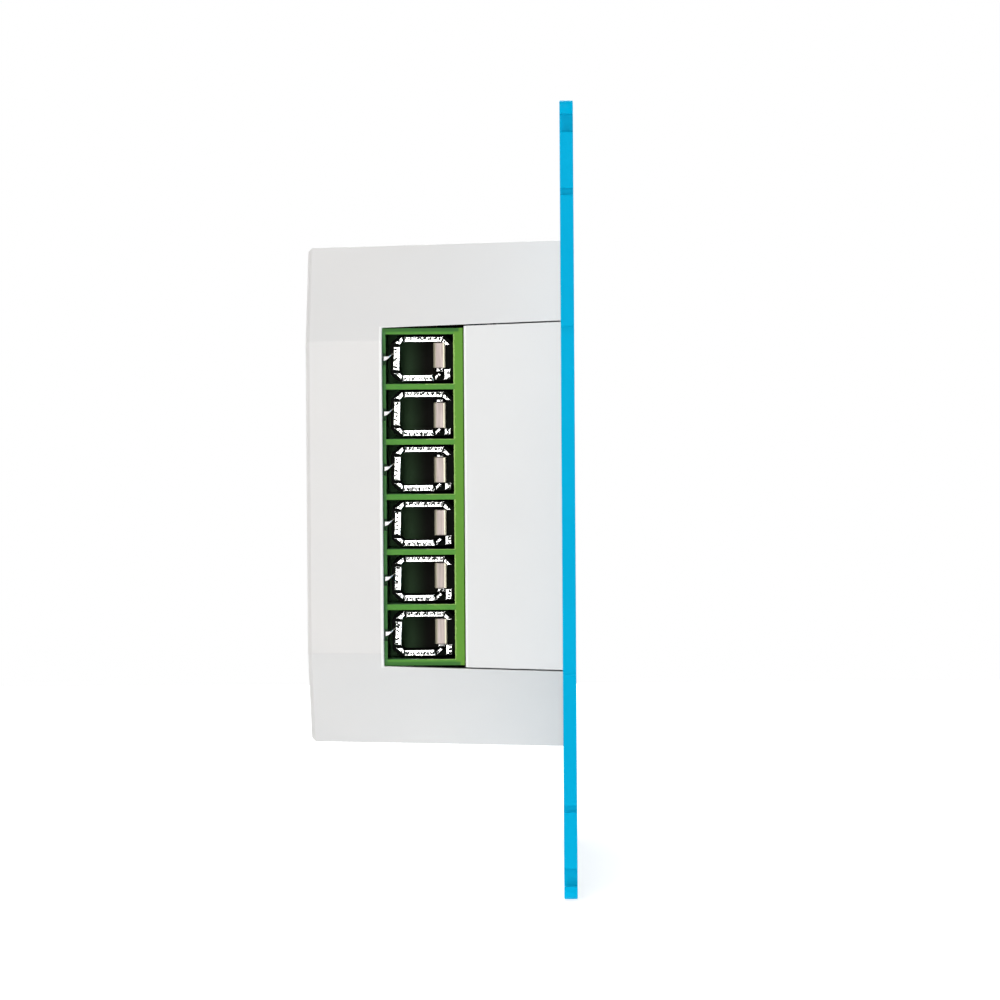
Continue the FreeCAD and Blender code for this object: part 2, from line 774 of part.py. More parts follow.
def make_terminal_body():
    """Six-pole block: open cells in a row, cage channels, screw bores and pin slots."""
    body = new_body("terminal_block_body")
    half = size.block_length / 2
    outline = new_sketch(body, "block_outline", "plan", -half)
    add_polygon(outline, [
        (block_face, block_rear), (block_face, block_face_front),
        (block_step_face, block_face_front), (block_step_face, block_front),
        (block_back, block_front), (block_back, block_rear)])
    pad(body, outline, size.block_length)

    half_cell = size.cell_width / 2
    cells = new_sketch(body, "block_cells", "side", block_face)
    channels = new_sketch(body, "block_channels", "side", channel_start)
    passages = new_sketch(body, "block_passages", "side", channel_end)
    pin_slots = new_sketch(body, "block_pin_slots", "side", block_face)
    for pole in range(POLES):
        up = pole_up(pole)
        add_rectangle(cells, cell_front, cell_rear, up - half_cell, up + half_cell)
        add_rectangle(channels, channel_front, cell_rear, up - half_cell, up + half_cell)
        half_bar = size.bar_width / 2 + size.bar_gap
        add_rectangle(passages, bar_front - size.bar_gap, bar_rear + size.bar_gap,
                      up - half_bar, up + half_bar)
        half_pin = size.pin_slot_width / 2
        add_rectangle(pin_slots, cell_rear, block_rear, up - half_pin, up + half_pin)
    pocket(body, cells, size.cell_recess)
    pocket(body, channels, size.channel_depth)
    pocket(body, passages, block_back - channel_end)
    pocket(body, pin_slots, size.cell_recess)

    heads = new_sketch(body, "block_heads", "depth", block_front)
    necks = new_sketch(body, "block_necks", "depth", head_rear)
    half_neck = size.screw_radius + size.head_clearance
    for pole in range(POLES):
        up = pole_up(pole)
        add_circle(heads, screw_across, up, size.screw_head_radius + size.head_clearance)
        add_rectangle(necks, screw_across - half_neck, screw_across + half_neck,
                      up - half_neck, up + half_neck)
    pocket(body, heads, head_rear + size.running_clearance - block_front)
    pocket(body, necks, channel_front - head_rear)
    register("terminal_body", body)


def make_terminal_bars():
    """Current bars: each goes through its cage and down its leg to a solder pin."""
    bars = []
    leg_start = block_back + size.bar_gap
    leg_end = leg_start + size.pin_thickness
    for pole in range(POLES):
        up = pole_up(pole)
        half = size.bar_width / 2
        half_pin = size.pin_width / 2
        bar = box("bar_%d" % (pole + 1), (cage_start - size.bar_lead, bar_front, up - half),
                  (leg_end, bar_rear, up + half))
        leg = box("bar_leg_%d" % (pole + 1), (leg_start, bar_front, up - half),
                  (leg_end, size.board_front - size.bar_gap, up + half))
        pin = box("bar_pin_%d" % (pole + 1), (leg_start, bar_rear, up - half_pin),
                  (leg_end, board_rear + size.pin_stick_out, up + half_pin))
        bars.append(join("current_bar_%d" % (pole + 1), [bar, leg, pin]))
    register("terminal_bars", group("terminal_bar_group", bars))


def make_terminal_cage(pole):
    """Rising cage: a bevelled ring with a threaded wall and a tail that stops it turning."""
    name = "cage_%d" % (pole + 1)
    up = pole_up(pole)
    body = new_body(name + "_body")
    half = size.cell_width / 2 - size.cage_side_gap
    bevel = size.cage_bevel
    ring = new_sketch(body, name + "_ring", "side", cage_start)
    add_polygon(ring, [
        (cage_front, up - half + bevel), (cage_front + bevel, up - half),
        (cage_rear - bevel, up - half), (cage_rear, up - half + bevel),
        (cage_rear, up + half - bevel), (cage_rear - bevel, up + half),
        (cage_front + bevel, up + half), (cage_front, up + half - bevel)])
    pad(body, ring, size.cage_length)
    half_tail = size.pin_slot_width / 2 - size.cage_gap
    tail_rear = block_rear - size.cage_gap
    tail_tip = cage_start - size.tail_reach
    tail = new_sketch(body, name + "_tail", "plan", up - half_tail)
    add_polygon(tail, [
        (cage_start + size.tail_root, cage_rear), (tail_tip + size.tail_bevel, tail_rear),
        (tail_tip, tail_rear - size.tail_bevel),
        (cage_start - size.cage_gap, cage_rear - size.tail_overlap),
        (cage_start + size.tail_root, cage_rear - size.tail_overlap)])
    pad(body, tail, half_tail * 2)
    inside = half - size.cage_side_wall
    window_front = cage_front + size.cage_screw_wall
    window_rear = cage_rear - size.cage_clamp_wall
    bevel = size.cage_window_bevel
    window = new_sketch(body, name + "_window", "side", cage_start)
    add_polygon(window, [
        (window_front, up - inside), (window_rear - bevel, up - inside),
        (window_rear, up - inside + bevel), (window_rear, up + inside - bevel),
        (window_rear - bevel, up + inside), (window_front, up + inside)])
    pocket(body, window, size.cage_length)
    thread = new_sketch(body, name + "_thread", "depth", cage_front)
    add_circle(thread, screw_across, up, size.screw_radius + size.running_clearance)
    pocket(body, thread, size.cage_screw_wall)
    register("terminal_cage_%d" % (pole + 1), body)


def make_terminal_screw(pole):
    """Captive clamping screw with a slotted cheese head."""
    name = "clamp_screw_%d" % (pole + 1)
    up = pole_up(pole)
    head = rod(name + "_head", screw_across, up, head_front, head_rear, size.screw_head_radius)
    shank = rod(name + "_shank", screw_across, up, head_rear, screw_tip, size.screw_radius)
    whole = join(name + "_whole", [head, shank])
    half_slot = size.screw_slot_width / 2
    reach = size.screw_head_radius + SPARE
    slot = box(name + "_slot", (screw_across - reach, head_front - SPARE, up - half_slot),
               (screw_across + reach, head_front + size.screw_slot_depth, up + half_slot))
    register("terminal_screw_%d" % (pole + 1), cut(name, whole, slot))


def make_dial():
    """Flush dial: disc, skirt and hub, with a round recess for a fingertip."""
    body = new_body("dial_body")
    face = plate_front + size.dial_sunk
    under = face + size.dial_disc
    inside = dial_radius - size.dial_skirt_wall
    profile = new_sketch(body, "dial_profile", "plan", 0)
    add_polygon(profile, [
        (0, face), (dial_radius, face), (dial_radius, size.dial_skirt_depth),
        (inside, size.dial_skirt_depth), (inside, under), (size.dial_hub_radius, under),
        (size.dial_hub_radius, size.dial_hub_end), (0, size.dial_hub_end)])
    revolve(body, profile)
    bore_front = size.shaft_front - size.stack_gap
    bore = rod("dial_bore", 0, 0, bore_front, size.dial_hub_end + SPARE,
               size.shaft_radius + size.shaft_hub_gap)
    reach = size.shaft_radius + SPARE
    key = box("dial_key", (-reach, bore_front - SPARE, size.shaft_flat + size.shaft_hub_gap),
              (reach, size.dial_hub_end + SPARE * 2, reach))
    low, high = clip_corners(size.stack_gap)
    clip_slot = box("dial_clip_slot", low, high)
    keyed_bore = join("dial_keyed_bore", [cut("dial_plain_bore", bore, key), clip_slot])
    dimple = rod("dial_dimple", 0, dial_radius - size.dimple_edge_gap - size.dimple_radius,
                 face - SPARE, face + size.dimple_depth, size.dimple_radius)
    register("dial", cut("dial_shape", cut("dial_bored", body, keyed_bore), dimple))


def make_encoder_can():
    """Metal front of the push encoder: folded can with a threaded bush."""
    half_wide = size.encoder_width / 2
    half_high = size.encoder_height / 2
    wall = size.encoder_can_wall
    shell = box("can_shell", (-half_wide, can_front, -half_high),
                (half_wide, base_front, half_high))
    bush = rod("can_bush", 0, 0, bush_front, can_front + wall, size.bush_radius)
    hollow = box("can_hollow", (wall - half_wide, can_front + wall, wall - half_high),
                 (half_wide - wall, base_front + SPARE, half_high - wall))
    bore = rod("can_bore", 0, 0, bush_front - SPARE, base_front + SPARE,
               size.shaft_radius + size.running_clearance)
    solid = join("can_solid", [shell, bush])
    register("encoder_can", cut("can_open", cut("can_hollowed", solid, hollow), bore))


def make_encoder_base():
    """Moulded base of the encoder with the push switch's well."""
    half_wide = size.encoder_width / 2
    half_high = size.encoder_height / 2
    block = box("base_block", (-half_wide, base_front, -half_high),
                (half_wide, size.board_front, half_high))
    well = rod("base_well", 0, 0, base_front - SPARE, size.board_front - size.switch_well_floor,
               size.switch_well_radius)
    register("encoder_base", cut("base_open", block, well))


def make_encoder_pins():
    pins = []
    half = size.pin_width / 2
    for number, (across, up) in enumerate(encoder_pin_places(), start=1):
        pins.append(box("encoder_pin_%d" % number,
                        (across - half, size.board_front, up - size.pin_thickness / 2),
                        (across + half, board_rear + size.pin_stick_out,
                         up + size.pin_thickness / 2)))
    register("encoder_pins", group("encoder_pin_group", pins))


def make_encoder_nut():
    """Hexagon nut on the bush, which clamps the encoder to the well's floor."""
    body = new_body("nut_body")
    nut_front = size.well_floor_front - size.nut_thickness
    outline = new_sketch(body, "nut_outline", "depth", nut_front)
    half = size.nut_across_flats / 2
    corner = half / math.cos(math.pi / NUT_SIDES)
    corners = []
    for step in range(NUT_SIDES):
        angle = 2 * math.pi * step / NUT_SIDES
        corners.append((corner * math.cos(angle), corner * math.sin(angle)))
    add_polygon(outline, corners)
    pad(body, outline, size.nut_thickness)
    bore = new_sketch(body, "nut_bore", "depth", nut_front)
    add_circle(bore, 0, 0, size.bush_radius + size.thread_clearance)
    pocket(body, bore, size.nut_thickness)
    register("encoder_nut", body)


def make_encoder_rotor():
    """Contact rotor: the shaft's flat turns it and slides through it when pushed."""
    disc = rod("rotor_disc", 0, 0, rotor_front, rotor_rear, size.rotor_radius)
    slack = size.running_clearance
    bore = rod("rotor_bore", 0, 0, rotor_front - SPARE, rotor_rear + SPARE,
               size.shaft_radius + slack)
    reach = size.shaft_radius + SPARE
    key = box("rotor_key", (-reach, rotor_front - SPARE * 2, size.shaft_flat + slack),
              (reach, rotor_rear + SPARE * 2, reach))
    register("encoder_rotor", cut("rotor_shape", disc, cut("rotor_keyed_bore", bore, key)))


def make_detent_spring():
    """Spring plate between the can and the rotor: its two ridges give the clicks."""
    front = can_front + size.encoder_can_wall
    half_wide = size.encoder_width / 2 - size.encoder_can_wall - size.spring_can_gap
    half_high = size.encoder_height / 2 - size.encoder_can_wall - size.spring_can_gap
    plate = box("detent_plate", (-half_wide, front, -half_high),
                (half_wide, front + size.spring_thickness, half_high))
    hole_radius = size.shaft_radius + size.spring_hole_gap
    hole = rod("detent_hole", 0, 0, front - SPARE, front + SPARE, hole_radius)
    solids = [cut("detent_holed", plate, hole)]
    middle = (hole_radius + size.rotor_radius) / 2
    half_bump = size.spring_bump_width / 2
    for name, across in (("left", -middle), ("right", middle)):
        solids.append(box("detent_ridge_" + name, (across - half_bump, front, -half_bump),
                          (across + half_bump, rotor_front - size.stack_gap, half_bump)))
    register("encoder_detent_spring", join("detent_shape", solids))


def make_encoder_shaft():
    """D shaft: flat at the front for the dial and at the rear for the rotor."""
    whole = rod("shaft_rod", 0, 0, size.shaft_front, shaft_rear, size.shaft_radius)
    reach = size.shaft_radius + SPARE
    front_flat = box("shaft_front_flat", (-reach, size.shaft_front - SPARE, size.shaft_flat),
                     (reach, bush_front - size.shaft_flat_gap, reach))
    rear_start = rotor_front - size.push_travel - size.shaft_flat_gap
    rear_flat = box("shaft_rear_flat", (-reach, rear_start, size.shaft_flat),
                    (reach, shaft_rear + SPARE, reach))
    register("encoder_shaft", cut("shaft_shape", cut("shaft_fronted", whole, front_flat),
                                  rear_flat))


def clip_corners(gap):
    """Corners of the clip's leaf, or of its slot in the hub when a gap is given."""
    half = size.clip_width / 2
    flat = size.shaft_flat + size.shaft_hub_gap
    low = (-half - gap, size.shaft_front - gap, flat)
    high = (half + gap, size.dial_hub_end, flat + size.clip_thickness + gap)
    return low, high


def make_dial_clip():
    """Leaf spring between the hub and the shaft's flat, with a lip over the hub's end."""
    low, high = clip_corners(0)
    leaf = box("clip_leaf", low, high)
    lip = box("clip_lip_plate", (low[0], size.dial_hub_end, low[2]),
              (high[0], size.dial_hub_end + size.clip_thickness, high[2] + size.clip_lip))
    register("dial_clip", join("clip_shape", [leaf, lip]))


def make_push_plunger():
    """Short pin between the shaft's end and the snap dome."""
    dome_top = size.board_front - size.switch_well_floor - size.dome_height
    register("push_plunger", rod("plunger_pin", 0, 0, shaft_rear + size.stack_gap,
                                 dome_top - size.stack_gap, size.plunger_radius))


def make_push_dome():
    """Snap dome under the plunger, which closes the push contact."""
    rise = size.dome_height
    reach = size.switch_well_radius - size.dome_well_gap
    radius = (reach * reach + rise * rise) / (rise * 2)
    floor = size.board_front - size.switch_well_floor
    outer = doc.addObject("Part::Sphere", "dome_outer")
    bind(outer, "Radius", radius)
    bind(outer, "Placement.Base.y", floor - rise + radius)
    inner = doc.addObject("Part::Sphere", "dome_inner")
    bind(inner, "Radius", radius - size.dome_thickness)
    bind(inner, "Placement.Base.y", floor - rise + radius)
    slab = box("dome_slab", (-radius - SPARE, floor, -radius - SPARE),
               (radius + SPARE, floor + radius * 2, radius + SPARE))
    shell = cut("dome_shell", outer, inner)
    register("push_dome", cut("dome_shape", shell, slab))


def make_filter_parts():
    """Mains side of the circuit: two capacitors, choke, fuse and varistor."""
    front = size.board_front
    register("bulk_capacitor", rod("bulk_can", cap_across, cap_up, front - size.cap_height,
                                   front, size.cap_radius))
    half_wide = size.fuse_width / 2
    half_long = size.fuse_length / 2
    register("fuse", box("fuse_case", (cap_across - half_wide, front - size.fuse_height,
                                       -cap_up - half_long),
                         (cap_across + half_wide, front, half_long - cap_up)))
    half_film = size.film_cap_length / 2
    register("film_capacitor", box(
        "film_case", (film_cap_start, front - size.film_cap_height, -half_film),
        (film_cap_start + size.film_cap_thickness, front, half_film)))
    choke_up = inner_half - size.choke_wall_gap - size.choke_radius
    register("choke", rod("choke_drum", size.choke_across, choke_up,
                          front - size.choke_height, front, size.choke_radius))
    disc = doc.addObject("Part::Cylinder", "varistor_disc")
    bind(disc, "Radius", size.varistor_radius)
    bind(disc, "Height", size.varistor_thickness)
    bind(disc, "Placement.Base.x", -size.varistor_across)
    bind(disc, "Placement.Base.y", front - size.varistor_radius - size.varistor_lift)
    bind(disc, "Placement.Base.z",
         inner_half - size.varistor_wall_gap - size.varistor_thickness)
    register("varistor", disc)


def make_control_parts():
    """The chips on the back of the board: microcontroller and bridge rectifier."""
    half = size.chip_side / 2
    low, high = size.chip_place - half, size.chip_place + half
    register("microcontroller", box("chip_package", (low, board_rear, low),
                                    (high, board_rear + size.chip_thickness, high)))
    half_long = size.rectifier_length / 2
    half_wide = size.rectifier_width / 2
    register("rectifier", box(
        "rectifier_package",
        (-size.rectifier_across - half_long, board_rear, -size.rectifier_down - half_wide),
        (half_long - size.rectifier_across, board_rear + size.rectifier_thickness,
         half_wide - size.rectifier_down)))


def make_heat_path():
    """Two power transistors, a thermal pad and the angle that takes heat to the plate."""
    spreader_down = inner_half - size.spreader_wall_gap
    leaf_up = size.spreader_thickness - spreader_down
    half = size.spreader_width / 2
    leaf = box("spreader_leaf", (-half, seat, -spreader_down),
               (half, size.spreader_depth, leaf_up))
    flange = box("spreader_flange_plate", (-half, seat, -spreader_down),
                 (half, seat + size.spreader_thickness, size.spreader_flange - spreader_down))
    register("heat_spreader", join("spreader_shape", [leaf, flange]))
    pad_up = leaf_up + size.thermal_pad_thickness
    pad_front = size.spreader_depth - size.transistor_height
    half_pad = half - size.thermal_pad_margin
    register("thermal_pad", box("pad_sheet", (-half_pad, pad_front, leaf_up),
                                (half_pad, size.spreader_depth, pad_up)))
    packages = []
    half_wide = size.transistor_width / 2
    half_leg = size.leg_width / 2
    leg_low = pad_up + size.leg_lift
    for name, side in (("transistor_left", -1), ("transistor_right", 1)):
        middle = size.transistor_spacing * (side / 2)
        solids = [box(name + "_case", (middle - half_wide, pad_front, pad_up),
                      (middle + half_wide, size.spreader_depth,
                       pad_up + size.transistor_thickness))]
        for step in (-1, 0, 1):
            place = middle + size.leg_pitch * step
            solids.append(box("%s_leg_%d" % (name, step + 2),
                              (place - half_leg, pad_front, leg_low),
                              (place + half_leg, size.board_front,
                               leg_low + size.leg_thickness)))
        packages.append(join(name, solids))
    register("power_transistors", group("transistor_pair", packages))


def make_insulating_sheet():
    """Thin insulating sheet on the housing's floor, behind the solder side."""
    body = new_body("sheet_body")
    outline = new_sketch(body, "sheet_outline", "depth", floor_front - size.sheet_thickness)
    drop = tangent(size.housing_draft) * (floor_front - seat)
    half = inner_half - drop - size.sheet_gap
    flat = inner_flat - (drop + size.sheet_gap) * (DIAGONAL - 1.0)
    add_polygon(outline, octagon(half, flat))
    pad(body, outline, size.sheet_thickness)
    holes = new_sketch(body, "sheet_holes", "depth", floor_front - size.sheet_thickness)
    reach = size.board_post_radius + size.sheet_post_gap
    for across, up in post_places():
        add_rectangle(holes, across - reach, across + reach, up - reach, up + reach)
    pocket(body, holes, size.sheet_thickness)
    register("insulating_sheet", body)


def check_and_export():
    """Stops on any failed feature, then writes one STEP file for each sub-part."""
    doc.recompute()
    for thing in doc.Objects:
        if "Invalid" in thing.State or "Error" in thing.State:
            raise RuntimeError("%s failed: %s" % (thing.Name, thing.State))
    os.makedirs("parts", exist_ok=True)
    for node, thing in nodes:
        shape = thing.Shape
        if shape.isNull() or not shape.isValid() or not shape.Solids:
            raise RuntimeError("%s has no valid solid" % node)
        shape.exportStep(os.path.join("parts", node + ".step"))
        print("%-24s solids %d volume %.1f" % (node, len(shape.Solids), shape.Volume))
    print("%d nodes" % len(nodes))


def build():
    make_mounting_plate()
    make_rear_housing()
    make_front_carrier()
    make_main_board()
    make_terminal_body()
    make_terminal_bars()
    for pole in range(POLES):
        make_terminal_cage(pole)
        make_terminal_screw(pole)
    make_dial()
    make_dial_clip()
    make_encoder_can()
    make_encoder_base()
    make_encoder_pins()
    make_encoder_nut()
    make_encoder_rotor()
    make_detent_spring()
    make_encoder_shaft()
    make_push_plunger()
    make_push_dome()
    make_filter_parts()
    make_control_parts()
    make_heat_path()
    make_insulating_sheet()
    check_and_export()


build()
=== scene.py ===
# %% [markdown]
# # A flush rotary push dimmer, seen from the side
# The part is a switch insert for a round wall box: a thin blue support plate, a white moulded
# module behind it, and a green row of six wire terminals let into the module's side. The packed
# CAD model gives every solid its place, so this script only dresses it: camera and light first,
# then one finish after another, then the small metal pieces that need more detail than the
# solids have.

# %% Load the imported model
import math
import random

import bmesh
import bpy
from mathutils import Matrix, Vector


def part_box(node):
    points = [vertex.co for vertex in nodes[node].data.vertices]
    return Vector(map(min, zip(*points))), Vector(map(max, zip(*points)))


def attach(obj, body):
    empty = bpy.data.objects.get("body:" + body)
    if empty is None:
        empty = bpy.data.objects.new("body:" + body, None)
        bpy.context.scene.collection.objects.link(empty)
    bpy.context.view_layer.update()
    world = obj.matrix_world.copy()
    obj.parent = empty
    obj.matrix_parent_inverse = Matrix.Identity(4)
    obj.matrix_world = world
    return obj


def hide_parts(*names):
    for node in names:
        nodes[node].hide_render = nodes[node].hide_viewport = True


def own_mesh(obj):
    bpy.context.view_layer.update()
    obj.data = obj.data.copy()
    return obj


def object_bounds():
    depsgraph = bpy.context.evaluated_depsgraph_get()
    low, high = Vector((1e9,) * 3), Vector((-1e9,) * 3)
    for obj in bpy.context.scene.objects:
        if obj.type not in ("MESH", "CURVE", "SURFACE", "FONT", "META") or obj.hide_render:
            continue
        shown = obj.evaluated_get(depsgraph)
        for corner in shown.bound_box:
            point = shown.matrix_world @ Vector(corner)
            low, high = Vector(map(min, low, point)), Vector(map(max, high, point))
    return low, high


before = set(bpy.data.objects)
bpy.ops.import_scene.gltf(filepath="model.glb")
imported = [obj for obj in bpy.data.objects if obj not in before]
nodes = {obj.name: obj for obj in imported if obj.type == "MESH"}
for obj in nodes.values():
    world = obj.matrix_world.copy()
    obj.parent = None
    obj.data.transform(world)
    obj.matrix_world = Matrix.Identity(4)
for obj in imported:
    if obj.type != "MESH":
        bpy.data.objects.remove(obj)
cad_box = [list(corner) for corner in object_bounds()]
MM = 0.001


def in_mm(values):
    """Lengths in millimetres, rounded for print."""
    return [round(value / MM, 2) for value in values]


print("CAD box in mm:", [in_mm(corner) for corner in cad_box])

# %% [markdown]
# ## Camera
# The photograph was taken square to the wire side, so the plate is seen on its edge. The plate
# comes out a little larger than the terminals behind it, which gives the distance: about 62 cm
# from the plate's near edge. The camera stands in the plane of the plate, so neither face of the
# plate shows, and a small shift puts the plate right of the middle as in the photograph. It
# looks down by less than two degrees, which puts the module a little above the plate's middle.

# %% Camera
scene = bpy.context.scene
camera_data = bpy.data.cameras.new("side_camera")
camera_data.lens = 250.8
camera_data.sensor_width = 36.0
camera_data.shift_x = -0.0604
camera_data.clip_start = 0.01
camera = bpy.data.objects.new("side_camera", camera_data)
scene.collection.objects.link(camera)
camera_across, camera_up = -653.0 * MM, 19.6 * MM
camera_tilt, camera_roll = math.radians(1.81), math.radians(0.36)
camera.location = (camera_across, 0.0, camera_up)
camera.rotation_euler = (math.radians(90) - camera_tilt, camera_roll, math.radians(-90))
scene.camera = camera
print("camera at, mm:", in_mm(camera.location))

# %% [markdown]
# ## Light and backdrop
# The photograph is almost without shadows: the facets of the white module differ by a few
# levels only, and it stays as light beside the plate as it is further back. So the main lamp
# stands beside the camera, towards the wall side where the plate can't shade the module. One
# lamp above evens out the upper facets, and the paper below does that for the lower ones. Three
# more lamps light the faces that the photograph doesn't show. The world and the floor look
# white to the camera and in mirror-like metal, but they light the part no more than paper would.

# %% Helpers for node trees
WHITE = (1.0, 1.0, 1.0, 1.0)


def new_tree(name):
    """An empty node material with its output."""
    material = bpy.data.materials.new(name)
    material.use_nodes = True
    tree = material.node_tree
    tree.nodes.clear()
    output = tree.nodes.new("ShaderNodeOutputMaterial")
    return material, tree, output


def compute(tree, operation, first, second=0.0):
    """One step of arithmetic; each side is a number or another node's output."""
    node = tree.nodes.new("ShaderNodeMath")
    node.operation = operation
    for socket, value in ((node.inputs[0], first), (node.inputs[1], second)):
        if hasattr(value, "links"):
            tree.links.new(value, socket)
        else:
            socket.default_value = value
    return node.outputs[0]


def position(tree, coordinates="Object"):
    """Where a point lies on the part: the outputs X, Y and Z."""
    parts = tree.nodes.new("ShaderNodeSeparateXYZ")
    tree.links.new(tree.nodes.new("ShaderNodeTexCoord").outputs[coordinates], parts.inputs[0])
    return parts.outputs


def spread(tree, value, low, high, start=0.3, end=0.7, smooth=False):
    """Maps start to end of a value onto low to high; most noise lies in 0.3 to 0.7."""
    span = tree.nodes.new("ShaderNodeMapRange")
    if smooth:
        span.interpolation_type = "SMOOTHSTEP"
    for socket, limit in (("From Min", start), ("From Max", end), ("To Min", low),
                          ("To Max", high)):
        span.inputs[socket].default_value = limit
    tree.links.new(value, span.inputs["Value"])
    return span.outputs["Result"]


def seen_directly(tree):
    """1 for camera, mirror and glass rays, 0 for the light that the part receives."""
    rays = tree.nodes.new("ShaderNodeLightPath").outputs
    direct = compute(tree, "MAXIMUM", rays["Is Camera Ray"], rays["Is Glossy Ray"])
    return compute(tree, "MAXIMUM", direct, rays["Is Transmission Ray"])


# %% World
scene.view_settings.view_transform = "Standard"
world = bpy.data.worlds.new("paper_white")
scene.world = world
world.use_nodes = True
tree = world.node_tree
tree.nodes.clear()
sky_output = tree.nodes.new("ShaderNodeOutputWorld")
even_light = tree.nodes.new("ShaderNodeBackground")
even_light.inputs["Color"].default_value = WHITE
# In a world, Generated is the direction in which a ray leaves.
light_in_front, light_behind, fade = 0.04, 0.20, 0.15
tree.links.new(spread(tree, position(tree, "Generated")["Y"], light_in_front, light_behind,
                      -fade, fade), even_light.inputs["Strength"])
white_view = tree.nodes.new("ShaderNodeBackground")
white_view.inputs["Color"].default_value = WHITE
choice = tree.nodes.new("ShaderNodeMixShader")
tree.links.new(seen_directly(tree), choice.inputs[0])
tree.links.new(even_light.outputs[0], choice.inputs[1])
tree.links.new(white_view.outputs[0], choice.inputs[2])
tree.links.new(choice.outputs[0], sky_output.inputs["Surface"])
print("world light:", light_in_front, "in front of the plate,", light_behind, "behind it")

# %% Lamps
part_middle = Vector((0, 10 * MM, 0))


def softbox(name, place, width, height, power, colour=(1.0, 1.0, 1.0)):
    """A flat lamp that looks at the middle of the part; its width runs across the plate."""
    data = bpy.data.lights.new(name, "AREA")
    data.shape = "RECTANGLE"
    data.size = width
    data.size_y = height
    data.energy = power
    data.color = colour
    lamp = bpy.data.objects.new(name, data)
    scene.collection.objects.link(lamp)
    lamp.location = place
    toward = part_middle - Vector(place)
    lamp.rotation_euler = toward.to_track_quat("-Z", "Y").to_euler()


softbox("lamp_camera_side", (-0.62, 0.06, 0.03), 0.10, 0.60, 1.90, (1.0, 0.975, 0.95))
softbox("lamp_above", (-0.25, 0.08, 0.58), 0.12, 0.40, 1.60)
softbox("lamp_plate_front", (0.10, -0.60, 0.20), 0.50, 0.50, 1.95, (0.97, 0.99, 1.0))
softbox("lamp_wall_side", (0.15, 0.60, 0.10), 0.40, 0.40, 0.50, (1.0, 0.96, 0.92))
softbox("lamp_far_side", (0.60, 0.06, 0.25), 0.30, 0.50, 1.50)
print("lamps:", len(bpy.data.lights))

# %% [markdown]
# The floor is a sheet of pale paper just under the plate. A little of its own light lifts it to
# white and leaves the shadow under the part. That light is full a hand's breadth away, so the
# sheet's far edge doesn't show. Like the world's, the part of it that reaches the module comes
# from the wall side only, where the plate doesn't stand in its way, and most of it from close
# behind the plate.

# %% Floor
floor_reach = 300 * MM
floor_up = cad_box[0][2] - 0.2 * MM
floor_mesh = bpy.data.meshes.new("paper_floor")
corners = [(-1, -1), (1, -1), (1, 1), (-1, 1)]
floor_mesh.from_pydata([(floor_reach * across, floor_reach * deep, floor_up)
                        for across, deep in corners], [], [(0, 1, 2, 3)])
floor = bpy.data.objects.new("paper_floor", floor_mesh)
scene.collection.objects.link(floor)
paper, tree, output = new_tree("white_paper")
paper_diffuse = tree.nodes.new("ShaderNodeBsdfDiffuse")
paper_diffuse.inputs["Color"].default_value = (0.86, 0.86, 0.86, 1)
paper_lift = tree.nodes.new("ShaderNodeEmission")
from_middle = tree.nodes.new("ShaderNodeVectorMath")
from_middle.operation = "LENGTH"
tree.links.new(tree.nodes.new("ShaderNodeTexCoord").outputs["Object"], from_middle.inputs[0])
lift = spread(tree, from_middle.outputs["Value"], 0.60, 1.0, 45 * MM, 110 * MM, smooth=True)
shown = compute(tree, "MULTIPLY", seen_directly(tree), lift)
deep = position(tree)["Y"]
behind_plate = spread(tree, deep, 0.02, 0.35, -5 * MM, 5 * MM)
close_to_plate = spread(tree, deep, 2.2, 0.5, 3 * MM, 20 * MM)
received = compute(tree, "MULTIPLY", behind_plate, close_to_plate)
tree.links.new(compute(tree, "MAXIMUM", shown, received), paper_lift.inputs["Strength"])
both = tree.nodes.new("ShaderNodeAddShader")
tree.links.new(paper_diffuse.outputs[0], both.inputs[0])
tree.links.new(paper_lift.outputs[0], both.inputs[1])
tree.links.new(both.outputs[0], output.inputs["Surface"])
floor_mesh.materials.append(paper)
print("floor at", round(floor_up / MM, 2), "mm")

# %% [markdown]
# ## Finishes
# Every finish is a node material in the part's own coordinates, so it stays put when the part
# moves. One helper makes the base: a principled shader whose colour, roughness and height each
# vary a little with noise. What makes a finish its own (grain size, depth, colour drift) is in
# its call. More helpers let a finish run into another colour or add a height pattern to it.

# %% Helpers for finishes
# A Mix node has a set of sockets for each kind of value; these numbers are its colours.
MIX_FIRST, MIX_SECOND, MIX_RESULT = 6, 7, 2
ROUGHNESS_DRIFT = 0.06


def add_noise(tree, where, grain):
    """Noise with grains of the given size in metres."""
    noise = tree.nodes.new("ShaderNodeTexNoise")
    noise.inputs["Scale"].default_value = 1.0 / grain
    noise.inputs["Detail"].default_value = 3.0
    tree.links.new(where, noise.inputs["Vector"])
    return noise.outputs["Fac"]


def blend_colours(tree, share, first, second):
    """A colour between two; each is a colour value or another node's output."""
    mix = tree.nodes.new("ShaderNodeMix")
    mix.data_type = "RGBA"
    tree.links.new(share, mix.inputs["Factor"])
    for number, colour in ((MIX_FIRST, first), (MIX_SECOND, second)):
        if hasattr(colour, "links"):
            tree.links.new(colour, mix.inputs[number])
        else:
            mix.inputs[number].default_value = (*colour, 1)
    return mix.outputs[MIX_RESULT]


